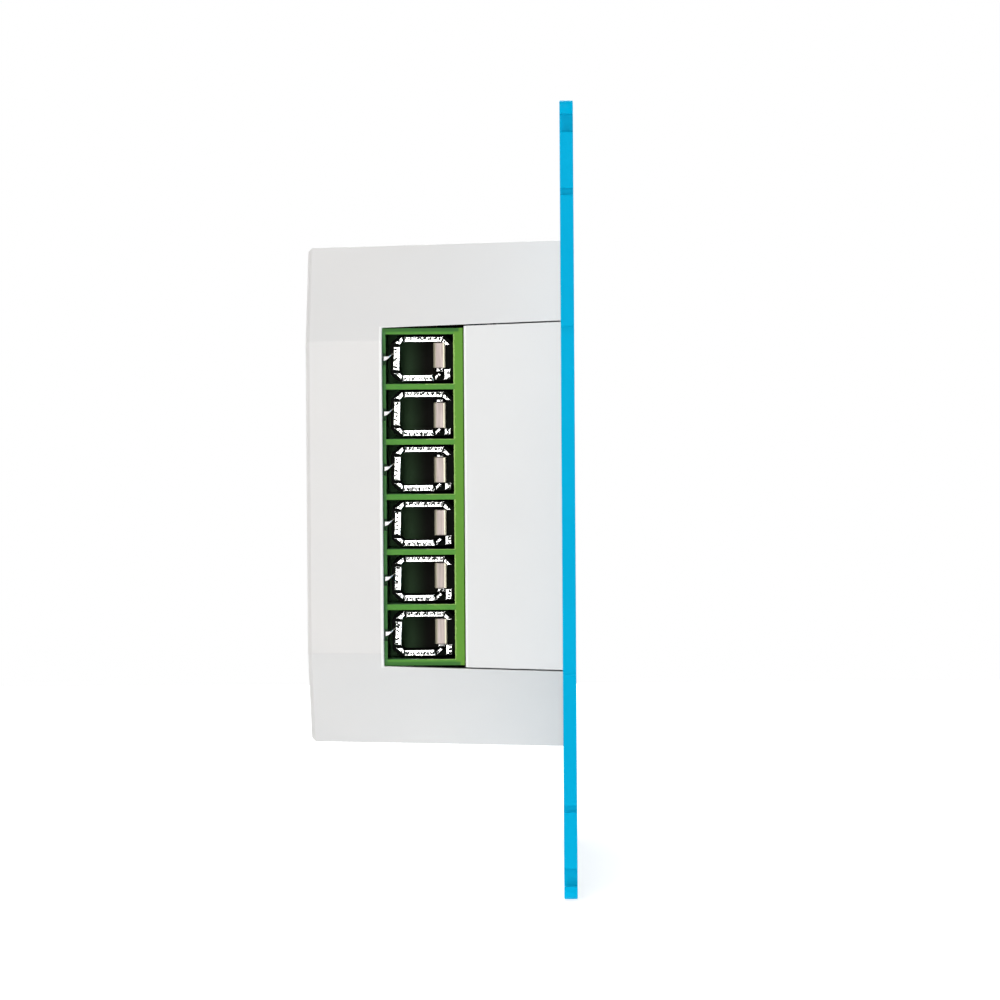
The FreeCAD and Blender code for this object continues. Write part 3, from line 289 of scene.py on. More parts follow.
def finish(name, colour, drift, grain, roughness, bump, metallic=0.0, drift_size=6 * MM,
           specular=0.5, drawn=(1.0, 1.0, 1.0)):
    """A moulded, coated or metal surface. drift is the second colour it wanders towards.

    A low value in drawn pulls the grain into streaks along that axis.
    """
    material, tree, output = new_tree(name)
    shader = tree.nodes.new("ShaderNodeBsdfPrincipled")
    pull = tree.nodes.new("ShaderNodeVectorMath")
    pull.operation = "MULTIPLY"
    pull.inputs[1].default_value = drawn
    tree.links.new(tree.nodes.new("ShaderNodeTexCoord").outputs["Object"], pull.inputs[0])
    where = pull.outputs["Vector"]
    wander = spread(tree, add_noise(tree, where, drift_size), 0.0, 1.0)
    tree.links.new(blend_colours(tree, wander, colour, drift), shader.inputs["Base Color"])
    fine = add_noise(tree, where, grain)
    tree.links.new(spread(tree, fine, roughness - ROUGHNESS_DRIFT, roughness + ROUGHNESS_DRIFT),
                   shader.inputs["Roughness"])
    relief = tree.nodes.new("ShaderNodeBump")
    relief.inputs["Distance"].default_value = bump
    tree.links.new(fine, relief.inputs["Height"])
    tree.links.new(relief.outputs["Normal"], shader.inputs["Normal"])
    shader.inputs["Metallic"].default_value = metallic
    shader.inputs["Specular IOR Level"].default_value = specular
    tree.links.new(shader.outputs[0], output.inputs["Surface"])
    return material


def shader_of(material):
    """The principled shader of a finish."""
    return next(node for node in material.node_tree.nodes if node.type == "BSDF_PRINCIPLED")


def tint(material, share, colour):
    """Blends a finish into another colour where share goes from 0 to 1."""
    tree = material.node_tree
    socket = shader_of(material).inputs["Base Color"]
    base = socket.links[0].from_socket
    tree.links.new(blend_colours(tree, share, base, colour), socket)


def depth_share(tree, axis, start, end):
    """0 before start and 1 after end along one axis of the part."""
    return spread(tree, position(tree)[axis], 0.0, 1.0, start, end, smooth=True)


def run_into(material, axis, start, end, colour, gloss=None):
    """Lets a finish run into another colour, and gloss, further along one axis."""
    tree = material.node_tree
    share = depth_share(tree, axis, start, end)
    tint(material, share, colour)
    if gloss is not None:
        level = shader_of(material).inputs["Specular IOR Level"]
        tree.links.new(spread(tree, share, level.default_value, gloss, 0.0, 1.0), level)


def add_relief(material, height, distance):
    """Adds one more height pattern to a finish."""
    tree = material.node_tree
    shader = shader_of(material)
    relief = tree.nodes.new("ShaderNodeBump")
    relief.inputs["Distance"].default_value = distance
    tree.links.new(height, relief.inputs["Height"])
    tree.links.new(shader.inputs["Normal"].links[0].from_socket, relief.inputs["Normal"])
    tree.links.new(relief.outputs["Normal"], shader.inputs["Normal"])


def dress(node, material):
    """Gives a CAD node its finish."""
    data = nodes[node].data
    data.materials.clear()
    data.materials.append(material)


# %% [markdown]
# ### White moulding
# The housing and the inner cover are moulded in a white plastic with a fine spark-eroded
# texture. The housing is a warm white that has grains of a tenth of a millimetre and hardly any
# gloss; the inner cover, whose tongue shows beside the terminals, is a little lighter. The dial
# is polished.

# %% White moulding
housing_white = finish("moulded_white", (0.815, 0.805, 0.795), (0.80, 0.795, 0.79),
                       grain=0.12 * MM, roughness=0.42, bump=0.004 * MM)
dial_white = finish("polished_white", (0.86, 0.86, 0.855), (0.85, 0.85, 0.85),
                    grain=0.3 * MM, roughness=0.22, bump=0.001 * MM)
carrier_white = finish("carrier_white", (0.845, 0.838, 0.832), (0.83, 0.825, 0.82),
                       grain=0.12 * MM, roughness=0.38, bump=0.003 * MM)
dress("rear_housing", housing_white)
dress("front_carrier", carrier_white)
dress("dial", dial_white)
print("white finishes:", housing_white.name, carrier_white.name, dial_white.name)

# %% [markdown]
# The floor of the housing keeps the marks of the mould: four round ejector pins and the gate in
# the middle. The dial was faced on a lathe before it was polished, which leaves fine rings.
# Both are shallower than any edge of the parts, so they are height patterns and not geometry.

# %% Ejector marks and turning rings
mark_edge, mark_depth, gate_width = 0.06 * MM, 0.12 * MM, 0.30 * MM
floor_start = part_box("rear_housing")[1].y - 0.2 * MM
ring_pitch, ring_depth = 0.35 * MM, 0.004 * MM


def from_point(tree, across, up):
    """Distance from a line along y; with both mirrored, four points become one."""
    here = position(tree)
    sides = [compute(tree, "SUBTRACT", compute(tree, "ABSOLUTE", here[axis]), middle)
             for axis, middle in (("X", across), ("Z", up))]
    squares = [compute(tree, "MULTIPLY", side, side) for side in sides]
    return compute(tree, "SQRT", compute(tree, "ADD", *squares)), here["Y"]


def add_floor_mark(material, across, up, radius, ring):
    """A shallow sunken disc, or a sunken ring, on the housing's floor only."""
    tree = material.node_tree
    away, deep = from_point(tree, across, up)
    raised = spread(tree, away, 0.0, 1.0, radius - mark_edge, radius + mark_edge)
    if ring:
        inner = radius - gate_width
        raised = compute(tree, "MAXIMUM", raised, spread(
            tree, away, 1.0, 0.0, inner - mark_edge, inner + mark_edge))
    on_floor = compute(tree, "GREATER_THAN", deep, floor_start)
    add_relief(material, compute(tree, "MULTIPLY", raised, on_floor), mark_depth)


add_floor_mark(housing_white, 13.0 * MM, 13.0 * MM, 2.0 * MM, False)
add_floor_mark(housing_white, 0.0, 0.0, 1.5 * MM, True)
tree = dial_white.node_tree
away, deep = from_point(tree, 0.0, 0.0)
waves = compute(tree, "SINE", compute(tree, "MULTIPLY", away, math.tau / ring_pitch))
add_relief(dial_white, compute(tree, "MULTIPLY", waves, 0.5), ring_depth)
print("floor marks from, rings on the dial every, mm:", in_mm((floor_start, ring_pitch)))

# %% [markdown]
# The housing and the inner cover get a painted highlight along the edges of the opening that the
# terminal block fills. The opening's edges are measured from the block's own box, so a line
# along them needs no texture picture: it is lighter where a point lies just outside.

# %% Painted highlight round the terminal block
block_low, block_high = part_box("terminal_body")
# The painted highlight's near white, and the distances from the block where it is full and gone.
highlight_white = (0.97, 0.97, 0.96)
highlight_full, highlight_gone = 0.12 * MM, 0.20 * MM
opening_near, opening_far = block_low.y + 3.05 * MM, block_high.y + 0.10 * MM
face_end = block_low.x + 0.25 * MM


def paint_highlight_round_block(material):
    """A painted highlight: a lighter line along the edges of the opening that the terminal block
    fills.
    """
    tree = material.node_tree
    here = position(tree)
    over = compute(tree, "SUBTRACT", compute(tree, "ABSOLUTE", here["Z"]), block_high.z)
    beside = compute(tree, "SUBTRACT", opening_near, here["Y"])
    behind = compute(tree, "SUBTRACT", here["Y"], opening_far)
    away = compute(tree, "MAXIMUM", over, compute(tree, "MAXIMUM", beside, behind))
    near = spread(tree, away, 1.0, 0.0, highlight_full, highlight_gone)
    on_face = compute(tree, "LESS_THAN", here["X"], face_end)
    tint(material, compute(tree, "MULTIPLY", near, on_face), highlight_white)


for material in (housing_white, carrier_white):
    paint_highlight_round_block(material)
print("light edges end", round(highlight_gone / MM, 2), "mm from the block")

# %% [markdown]
# ### Blue coating
# The support plate is punched from sheet and coated. The coat has a slight orange peel, grains
# of half a millimetre, and drifts between two blues. The photograph's module takes hardly any
# blue from the plate beside it, so the light that bounces off the plate meets a greyer one.

# %% Blue coating
plate_blue = finish("blue_coating", (0.0, 0.494, 0.840), (0.0, 0.470, 0.808),
                    grain=0.5 * MM, roughness=0.40, bump=0.02 * MM, drift_size=9 * MM,
                    specular=0.02)
tree = plate_blue.node_tree
bounced = tree.nodes.new("ShaderNodeLightPath").outputs["Is Diffuse Ray"]
tint(plate_blue, compute(tree, "MULTIPLY", bounced, 0.75), (0.54, 0.56, 0.57))
dress("mounting_plate", plate_blue)
print("plate:", plate_blue.name)

# %% [markdown]
# ### Green terminal moulding
# The block is a mid green. The wide rim beside the plate has a lighter, more yellow green that is
# painted light, and the thin rim at the other side and both ends a deeper green that is painted
# shade. Its cells are deep and hold bare metal, and hardly any light gets in, so the finish runs
# into a painted shade, near black, below the cells' rims, with a last trace of green at the wall
# side.

# %% Green terminal moulding
terminal_green = finish("terminal_green", (0.090, 0.310, 0.045), (0.115, 0.350, 0.050),
                        grain=0.25 * MM, roughness=0.42, bump=0.005 * MM, drift_size=2 * MM,
                        specular=0.12)
# Painted light on the wide rim; painted shade on the thin rim, at the ends and in the cells.
lit_rim_green = (0.135, 0.350, 0.038)
shaded_rim_green = (0.060, 0.205, 0.055)
shaded_end_green = (0.045, 0.175, 0.030)
cell_shade_black = (0.0145, 0.0140, 0.0118)
cell_shade_green = (0.105, 0.225, 0.105)
cell_near, cell_far = block_high.y - 6.5 * MM, block_high.y - 0.3 * MM
end_rim = block_high.z - 0.45 * MM
rim_depth = 0.25 * MM
run_into(terminal_green, "Y", cell_near + 0.10 * MM, cell_near - 0.10 * MM, lit_rim_green)
run_into(terminal_green, "Y", cell_far - 0.10 * MM, cell_far + 0.10 * MM, shaded_rim_green)
for side in (1, -1):
    run_into(terminal_green, "Z", side * end_rim, side * (end_rim + 0.25 * MM), shaded_end_green)
# Painted shade in the cells: near black, greener towards the wall side, with hardly any gloss.
tree = terminal_green.node_tree
wall_side = depth_share(tree, "Y", block_high.y - 4.0 * MM, block_high.y - 0.8 * MM)
run_into(terminal_green, "X", block_low.x + rim_depth, block_low.x + 2.4 * rim_depth,
         blend_colours(tree, wall_side, cell_shade_black, cell_shade_green), gloss=0.02)
# The sides of the wide rim, in painted light, come last, so that the painted shade of the cells
# doesn't reach them.
run_into(terminal_green, "Y", cell_near - 0.35 * MM, cell_near - 0.55 * MM, lit_rim_green)
dress("terminal_body", terminal_green)
print("cells between, mm:", in_mm((cell_near, cell_far)))

# %% [markdown]
# ### Metals and the parts inside
# Contacts are tinned copper, springs are bare steel, screws are zinc-plated. The parts on the
# circuit board have the colours such parts usually have. Solids that a finer piece replaces
# further down get a finish too, so that no solid is without one.

# %% Metals
bright_nickel = finish("bright_nickel", (0.86, 0.86, 0.85), (0.80, 0.80, 0.80),
                       grain=0.10 * MM, roughness=0.20, bump=0.004 * MM, metallic=1.0)
tinned_copper = finish("tinned_copper", (0.61, 0.52, 0.50), (0.41, 0.345, 0.315),
                       grain=0.08 * MM, roughness=0.50, bump=0.003 * MM, metallic=0.4,
                       drift_size=0.22 * MM, specular=0.2, drawn=(1.0, 1.0, 0.06))
zinc_steel = finish("zinc_steel", (0.42, 0.43, 0.45), (0.30, 0.32, 0.36),
                    grain=0.12 * MM, roughness=0.34, bump=0.006 * MM, metallic=0.85,
                    drift_size=0.8 * MM)
enamelled_wire = finish("enamelled_wire", (0.52, 0.16, 0.045), (0.42, 0.11, 0.030),
                        grain=0.4 * MM, roughness=0.26, bump=0.002 * MM, metallic=0.8)
spring_steel = finish("spring_steel", (0.48, 0.48, 0.47), (0.42, 0.42, 0.43),
                      grain=0.2 * MM, roughness=0.30, bump=0.002 * MM, metallic=1.0)
aluminium = finish("bare_aluminium", (0.70, 0.71, 0.72), (0.64, 0.65, 0.67),
                   grain=0.3 * MM, roughness=0.40, bump=0.004 * MM, metallic=1.0)
print("finishes so far:", len(bpy.data.materials))

# %% Finishes inside the housing
board_green = finish("solder_mask", (0.012, 0.110, 0.040), (0.010, 0.085, 0.032),
                     grain=0.6 * MM, roughness=0.30, bump=0.004 * MM)
black_moulding = finish("black_moulding", (0.012, 0.012, 0.014), (0.020, 0.020, 0.022),
                        grain=0.2 * MM, roughness=0.50, bump=0.005 * MM)
sleeve = finish("capacitor_sleeve", (0.010, 0.012, 0.030), (0.014, 0.016, 0.040),
                grain=0.8 * MM, roughness=0.22, bump=0.004 * MM)
film_yellow = finish("film_case", (0.62, 0.42, 0.045), (0.56, 0.38, 0.040),
                     grain=0.3 * MM, roughness=0.35, bump=0.006 * MM)
varistor_blue = finish("dipped_blue", (0.012, 0.062, 0.230), (0.010, 0.050, 0.190),
                       grain=1.2 * MM, roughness=0.25, bump=0.05 * MM)
pad_grey = finish("thermal_silicone", (0.26, 0.28, 0.30), (0.24, 0.25, 0.27),
                  grain=0.2 * MM, roughness=0.70, bump=0.01 * MM)
clear_sheet = finish("polyester_sheet", (0.72, 0.68, 0.50), (0.70, 0.66, 0.47),
                     grain=2.0 * MM, roughness=0.25, bump=0.01 * MM)

inside_finishes = {
    "main_board": board_green, "terminal_bars": tinned_copper, "encoder_pins": tinned_copper,
    "encoder_nut": bright_nickel, "encoder_can": zinc_steel, "encoder_shaft": aluminium,
    "encoder_rotor": black_moulding, "encoder_base": black_moulding,
    "encoder_detent_spring": spring_steel, "push_dome": spring_steel,
    "dial_clip": spring_steel, "push_plunger": black_moulding,
    "bulk_capacitor": sleeve, "fuse": black_moulding, "film_capacitor": film_yellow,
    "choke": black_moulding, "varistor": varistor_blue, "microcontroller": black_moulding,
    "rectifier": black_moulding, "heat_spreader": aluminium, "thermal_pad": pad_grey,
    "power_transistors": black_moulding, "insulating_sheet": clear_sheet,
}
for node, material in inside_finishes.items():
    dress(node, material)
POLES = range(1, 7)
for pole in POLES:
    dress("terminal_cage_%d" % pole, bright_nickel)
    dress("terminal_screw_%d" % pole, zinc_steel)
print("finishes:", len(bpy.data.materials))

# %% [markdown]
# ## Softer edges on the moulded and punched solids
# Real edges are never sharp: a moulding has a radius of a tenth of a millimetre, and it is this
# radius that catches the light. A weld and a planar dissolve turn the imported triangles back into
# clean faces, and a bevel then rounds what is sharper than the limit angle.

# %% Softer edges
def soften_edges(node, radius):
    """Rounds the sharp edges of a CAD node with modifiers and leaves its mesh as it is."""
    thing = nodes[node]
    weld = thing.modifiers.new("weld", "WELD")
    weld.merge_threshold = 0.001 * MM
    clean = thing.modifiers.new("clean", "DECIMATE")
    clean.decimate_type = "DISSOLVE"
    clean.angle_limit = math.radians(0.5)
    bevel = thing.modifiers.new("bevel", "BEVEL")
    bevel.width = radius
    bevel.segments = 2
    bevel.limit_method = "ANGLE"
    bevel.angle_limit = math.radians(30)


edge_radii = {
    "rear_housing": 0.10 * MM, "front_carrier": 0.08 * MM, "terminal_body": 0.10 * MM,
    "mounting_plate": 0.12 * MM, "dial": 0.06 * MM, "film_capacitor": 0.60 * MM,
    "fuse": 0.50 * MM, "varistor": 0.90 * MM, "microcontroller": 0.12 * MM,
    "rectifier": 0.15 * MM, "heat_spreader": 0.15 * MM,
}
for node, radius in edge_radii.items():
    soften_edges(node, radius)
print("softened solids:", len(edge_radii))

# %% [markdown]
# ## Rising cages
# Each cell holds a cage, a strip of nickel-plated steel folded into a ring. Its rim was coined
# flat between the bends, so bright bars with a row of small pits face the wire side, and the
# bends between them are in painted shade, near black. The ring itself is an extruded outline.
# Each bright bar is a fine grid whose height is worked out point by point, which gives pits that
# no bevel could.

# %% Measures of one cage, from its solid
cage_low, cage_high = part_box("terminal_cage_1")
rim_front = block_low.x + 1.6 * MM
coin_height = 0.30 * MM
ring_front = rim_front + coin_height
ring_back = cage_high.x
ring_rear = cage_high.y - 0.6 * MM
ring_near = cage_low.y
half_ring = (cage_high.z - cage_low.z) / 2
print("cage ring, mm:", in_mm((ring_front, ring_back, ring_near, ring_rear, half_ring)))


# %% Ring outline
def cut_corners(near, rear, half, near_cut, rear_cut):
    """An outline in y and z with its corners cut, counted round the ring."""
    return [(near, half - near_cut), (near + near_cut, half), (rear - rear_cut, half),
            (rear, half - rear_cut), (rear, rear_cut - half), (rear - rear_cut, -half),
            (near + near_cut, -half), (near, near_cut - half)]


threaded_wall, clamping_wall, long_wall = 0.75 * MM, 0.7 * MM, 0.5 * MM
outer_bend, inner_near_bend, inner_rear_bend = 0.7 * MM, 0.25 * MM, 0.4 * MM
ring_outside = cut_corners(ring_near, ring_rear, half_ring, outer_bend, outer_bend)
ring_inside = cut_corners(ring_near + threaded_wall, ring_rear - clamping_wall,
                          half_ring - long_wall, inner_near_bend, inner_rear_bend)
print("ring outline points:", len(ring_outside))


def ring_mesh(middle):
    """The folded strip: two outlines joined at the front, at the back and along the ring."""
    bm = bmesh.new()
    loops = []
    for across in (ring_front, ring_back):
        for outline in (ring_outside, ring_inside):
            loops.append([bm.verts.new((across, deep, middle + up)) for deep, up in outline])
    front_out, front_in, back_out, back_in = loops
    count = len(front_out)
    for place in range(count):
        after = (place + 1) % count
        for first, second in ((front_out, front_in), (front_in, back_in),
                              (back_in, back_out), (back_out, front_out)):
            bm.faces.new((first[place], first[after], second[after], second[place]))
    bmesh.ops.recalc_face_normals(bm, faces=bm.faces)
    return bm


# %% Coined bars
grid_step, skirt_overlap = 0.035 * MM, 0.02 * MM
pit_drop, pit_slope, edge_drop, edge_width = 0.7 * coin_height, 3.0, 0.25, 0.05 * MM


def coined_bar(bm, corners, pits, chance):
    """A raised bar with a row of small pits. corners: two outer, then two inner."""
    outer_start, outer_end, inner_end, inner_start = [Vector((0, *corner)) for corner in corners]
    length = (outer_end - outer_start).length
    width = (inner_start - outer_start).length
    along, across = max(4, round(length / grid_step)), max(4, round(width / grid_step))
    marks = []
    for number in range(pits):
        marks.append(((number + chance.uniform(0.2, 0.8)) / pits * length,
                      chance.uniform(0.30, 0.48) * width,
                      chance.uniform(0.06, 0.12) * MM, chance.uniform(0.18, 0.36) * width,
                      chance.uniform(-0.7, 0.7), chance.uniform(0.45, 1.0)))
    grid = []
    for row in range(across + 1):
        inward = row / across
        line = []
        for column in range(along + 1):
            share = column / along
            outer = outer_start.lerp(outer_end, share)
            inner = inner_start.lerp(inner_end, share)
            point = outer.lerp(inner, inward)
            sunk = 0.0
            for place, middle, half_long, half_wide, slant, depth in marks:
                sideways = inward * width - middle
                away = (share * length - place - slant * sideways) / half_long
                near = 1.0 - math.hypot(away, sideways / half_wide)
                sunk = max(sunk, depth * min(1.0, pit_slope * max(0.0, near)))
            edge = min(min(share, 1 - share) * length, min(inward, 1 - inward) * width)
            sunk = max(sunk, edge_drop * max(0.0, 1 - edge / edge_width))
            point.x = rim_front + pit_drop * sunk
            line.append(bm.verts.new(point))
        grid.append(line)
    faces = []
    for row in range(across):
        for column in range(along):
            faces.append(bm.faces.new((grid[row][column], grid[row][column + 1],
                                       grid[row + 1][column + 1], grid[row + 1][column])))
    around = set(faces)
    rim = [edge for edge in bm.edges if edge.is_boundary and edge.link_faces[0] in around]
    skirt = bmesh.ops.extrude_edge_only(bm, edges=rim)["geom"]
    for vertex in skirt:
        if isinstance(vertex, bmesh.types.BMVert):
            vertex.co.x = ring_front + skirt_overlap


# %% [markdown]
# The places of the bars were read off the photograph, in millimetres from the plate and from
# the middle of the cell. They go round the ring: clamping wall, long walls and their bends. The
# end of the strip and the inner layer of the threaded wall show beside the current bar, which
# hides what lies behind it.

# %% Bars of one rim
RIM_BARS = [
    # four corners (distance from the plate, height over the cell's middle), pits
    (((15.27, -1.00), (15.18, 1.10), (14.60, 1.12), (14.68, -1.02)), 6),
    (((14.24, 2.02), (10.70, 2.02), (10.86, 1.54), (14.20, 1.54)), 15),
    (((11.53, -2.02), (14.38, -2.02), (14.36, -1.49), (11.72, -1.47)), 12),
    (((15.12, 1.44), (14.42, 2.00), (14.36, 1.66), (14.62, 1.31)), 1),
    (((14.50, -1.88), (15.17, -1.30), (14.58, -1.30), (14.44, -1.52)), 1),
    (((10.64, 1.86), (10.08, 1.26), (10.42, 1.24), (10.78, 1.50)), 1),
    (((10.88, -1.44), (11.40, -1.90), (11.47, -1.60), (11.13, -1.30)), 1),
]
strip_end, strip_low, strip_high = (10.06, 10.61), -1.89, -0.94
inner_layer, inner_low, inner_high = (10.76, 11.32), -1.14, 1.27
bar_half, shortest = 1.15, 0.10


def upright_bar(between, low, high):
    """The corners of a bar between two distances from the plate and two heights."""
    near, far = between
    return (near, low), (near, high), (far, high), (far, low)


def rim_mesh(middle, shift, chance):
    """The bright bars and the tail of one cage; shift is the place of its current bar."""
    bm = bmesh.new()
    free_below, free_above = shift - bar_half, shift + bar_half
    bars = list(RIM_BARS)
    bars.append((upright_bar(strip_end, strip_low, min(strip_high, free_below - 0.05)), 3))
    for low, high in ((inner_low, free_below - 0.03), (free_above + 0.03, inner_high)):
        if high - low > shortest:
            bars.append((upright_bar(inner_layer, low, high), 1))
    for corners, pits in bars:
        placed = [(deep * MM, middle + up * MM) for deep, up in corners]
        coined_bar(bm, placed, pits, chance)
    add_tail(bm, middle)
    bmesh.ops.recalc_face_normals(bm, faces=bm.faces)
    return bm


TAIL = [
    # distance from the plate, height over the cell's middle, half its width, depth before the rim
    (15.22, 0.52, 0.05, 0.55), (15.42, 0.36, 0.05, 0.80), (15.60, 0.20, 0.06, 0.88),
    (15.80, 0.10, 0.14, 0.93), (16.07, 0.05, 0.20, 0.97),
]


def add_tail(bm, middle):
    """A tongue that starts narrow at the clamping wall and ends wide in the slot."""
    thick = 0.22 * MM
    rings = []
    for deep, up, half_wide, before in TAIL:
        across = rim_front - before * MM
        rings.append([bm.verts.new((across + back, deep * MM, middle + (up + side) * MM))
                      for back, side in ((0.0, -half_wide), (0.0, half_wide),
                                         (thick, half_wide), (thick, -half_wide))])
    for first, second in zip(rings, rings[1:]):
        for place in range(4):
            after = (place + 1) % 4
            bm.faces.new((first[place], first[after], second[after], second[place]))
    bm.faces.new(rings[0])
    bm.faces.new(rings[-1])


# %% [markdown]
# The coined bars are bright. The rest of the strip lies in the cell, where the photograph shows
# it almost black, so it has a near-black finish that is painted shade, and below its face a bar
# runs into painted shade as well.

# %% Finishes of the cages
coined_nickel = finish("coined_nickel", (0.90, 0.90, 0.89), (0.82, 0.82, 0.82),
                       grain=0.10 * MM, roughness=0.24, bump=0.003 * MM, metallic=0.9)
# Painted shade: below its coined face, in the pits and down the sides, a bar runs into near black.
run_into(coined_nickel, "X", rim_front + 0.05 * MM, rim_front + 0.14 * MM,
         (0.010, 0.012, 0.010))
# The ring's near black is painted shade, with hardly any gloss.
steel_painted_shade = finish("steel_painted_shade", (0.004, 0.005, 0.004), (0.007, 0.009, 0.007),
                     grain=0.2 * MM, roughness=0.70, bump=0.004 * MM, specular=0.05)


def new_piece(name, bm, material):
    """Links a finished mesh with its finish."""
    mesh = bpy.data.meshes.new(name)
    bm.to_mesh(mesh)
    bm.free()
    mesh.materials.append(material)
    piece = bpy.data.objects.new(name, mesh)
    scene.collection.objects.link(piece)
    return piece


print("cage finishes:", coined_nickel.name, steel_painted_shade.name)

# %% [markdown]
# ## Turned and wound parts
# A turned part is a stack of rings round a line. Where the radius of a ring depends on the angle
# too, the same stack gives a screw thread or the turns of a coil, so one helper makes the
# clamping screws, the choke and the capacitor's can. The driver slot and the vent are then cut
# out with a boolean, which is applied at once.

# %% Helpers for turned parts
def turned(bm, across, up, profile, segments=32, shell=False):
    """A closed stack of rings. profile: (distance from the plate, radius or its function).

    A shell's profile runs up its outside and back down its inside.
    """
    rings = []
    for deep, radius in profile:
        ring = []
        for place in range(segments):
            turn = place / segments
            reach = radius(turn) if callable(radius) else radius
            ring.append(bm.verts.new((across + reach * math.cos(math.tau * turn), deep,
                                      up + reach * math.sin(math.tau * turn))))
        rings.append(ring)
    following = rings[1:] + rings[:1] if shell else rings[1:]
    for first, second in zip(rings, following):
        for place in range(segments):
            after = (place + 1) % segments
            bm.faces.new((first[place], first[after], second[after], second[place]))
    if not shell:
        bm.faces.new(rings[0])
        bm.faces.new(rings[-1])
    bmesh.ops.recalc_face_normals(bm, faces=bm.faces)


def add_prism(bm, outline, low, high):
    """A closed prism over an outline in x and y, between two heights."""
    rings = [[bm.verts.new((across, deep, up)) for across, deep in outline] for up in (low, high)]
    count = len(outline)
    for place in range(count):
        after = (place + 1) % count
        bm.faces.new((rings[0][place], rings[0][after], rings[1][after], rings[1][place]))
    bm.faces.new(rings[0])
    bm.faces.new(rings[1])


def rectangle(low_across, high_across, low_deep, high_deep):
    """A rectangle in x and y, for a prism."""
    return [(low_across, low_deep), (high_across, low_deep), (high_across, high_deep),
            (low_across, high_deep)]


def carve(piece, outline, low, high):
    """Cuts a prism out of a piece: an outline in x and y between two heights."""
    bm = bmesh.new()
    add_prism(bm, outline, low, high)
    bmesh.ops.recalc_face_normals(bm, faces=bm.faces)
    tool_mesh = bpy.data.meshes.new("cutter")
    bm.to_mesh(tool_mesh)
    bm.free()
    tool = bpy.data.objects.new("cutter", tool_mesh)
    scene.collection.objects.link(tool)
    cut = piece.modifiers.new("cut", "BOOLEAN")
    cut.operation = "DIFFERENCE"
    cut.solver = "EXACT"
    cut.object = tool
    whole = piece.data
    seen = piece.evaluated_get(bpy.context.evaluated_depsgraph_get())
    piece.data = bpy.data.meshes.new_from_object(seen)
    piece.modifiers.clear()
    bpy.data.objects.remove(tool)
    bpy.data.meshes.remove(tool_mesh)
    bpy.data.meshes.remove(whole)


def smooth_sides(piece, limit=35.0):
    """Shades round sides smooth and keeps the edges sharper than the limit."""
    piece.data.shade_smooth()
    piece.data.set_sharp_from_angle(angle=math.radians(limit))


# %% Clamping screws
screw_low, screw_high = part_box("terminal_screw_1")
slot_depth, half_slot, slot_reach = 0.6 * MM, 0.3 * MM, 2.2 * MM
screw_zinc = finish("screw_zinc", (0.34, 0.35, 0.37), (0.23, 0.25, 0.29),
                    grain=0.12 * MM, roughness=0.36, bump=0.006 * MM, metallic=0.7,
                    drift_size=0.8 * MM)
slot_floor = screw_low.y + slot_depth
# Painted shade: near black at the depth of the driver slot's floor, also round the head's side;
# zinc again further on.
run_into(screw_zinc, "Y", slot_floor - 0.45 * MM, slot_floor - 0.05 * MM,
         (0.035, 0.036, 0.038))
run_into(screw_zinc, "Y", slot_floor + 0.08 * MM, slot_floor + 0.16 * MM,
         (0.34, 0.35, 0.37))
head_radius, head_end = 1.8 * MM, screw_low.y + 1.1 * MM
thread_radius, thread_depth, thread_pitch = 1.25 * MM, 0.28 * MM, 0.5 * MM
crest_gain = 1.35
screw_across = (screw_low.x + screw_high.x) / 2


def thread_at(deep, outer):
    """The radius all round a thread at one depth: a right-hand ridge with a narrow crest."""
    def radius(turn):
        phase = (deep / thread_pitch + turn) % 1.0
        ridge = min(1.0, crest_gain * (1.0 - abs(2.0 * phase - 1.0)))
        return min(outer, thread_radius - thread_depth * (1.0 - ridge))
    return radius


def screw_profile(start, end):
    """Cheese head with broken edges, then a thread up to a chamfered tip."""
    break_edge, lower_edge, tip_chamfer = 0.14 * MM, 0.05 * MM, 0.35 * MM
    profile = [(start, head_radius - break_edge), (start + break_edge, head_radius),
               (head_end - lower_edge, head_radius), (head_end, head_radius - lower_edge),
               (head_end, thread_radius - thread_depth)]
    thread_start, rings = head_end + 0.06 * MM, 66
    for number in range(rings + 1):
        deep = thread_start + (end - thread_start) * number / rings
        outer = thread_radius - max(0.0, deep - end + tip_chamfer)
        profile.append((deep, thread_at(deep, outer)))
    return profile


for pole in POLES:
    name = "terminal_screw_%d" % pole
    low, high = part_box(name)
    middle = (low.z + high.z) / 2
    bm = bmesh.new()
    turned(bm, screw_across, middle, screw_profile(low.y, high.y))
    screw = new_piece("screw_%d_slotted" % pole, bm, screw_zinc)
    slot = rectangle(screw_across - slot_reach, screw_across + slot_reach, low.y - 1 * MM,
                     low.y + slot_depth)
    carve(screw, slot, middle - half_slot, middle + half_slot)
    smooth_sides(screw)
    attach(screw, "screw_%d" % pole)
    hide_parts(name)
print("screw faces:", len(screw.data.polygons))

# %% [markdown]
# The choke is a ferrite drum with enamelled wire wound between its two flanges. The wire is one
# stack of rings whose radius swells at every turn, so the helper for the screws makes it too.

# %% Choke
def wound_at(deep, core, half_wire):
    """The radius all round a layer of wire at one depth."""
    def radius(turn):
        side = 2.0 * ((deep / (2 * half_wire) + turn) % 1.0) - 1.0
        return core + half_wire * math.sqrt(max(0.0, 1.0 - side * side))
    return radius


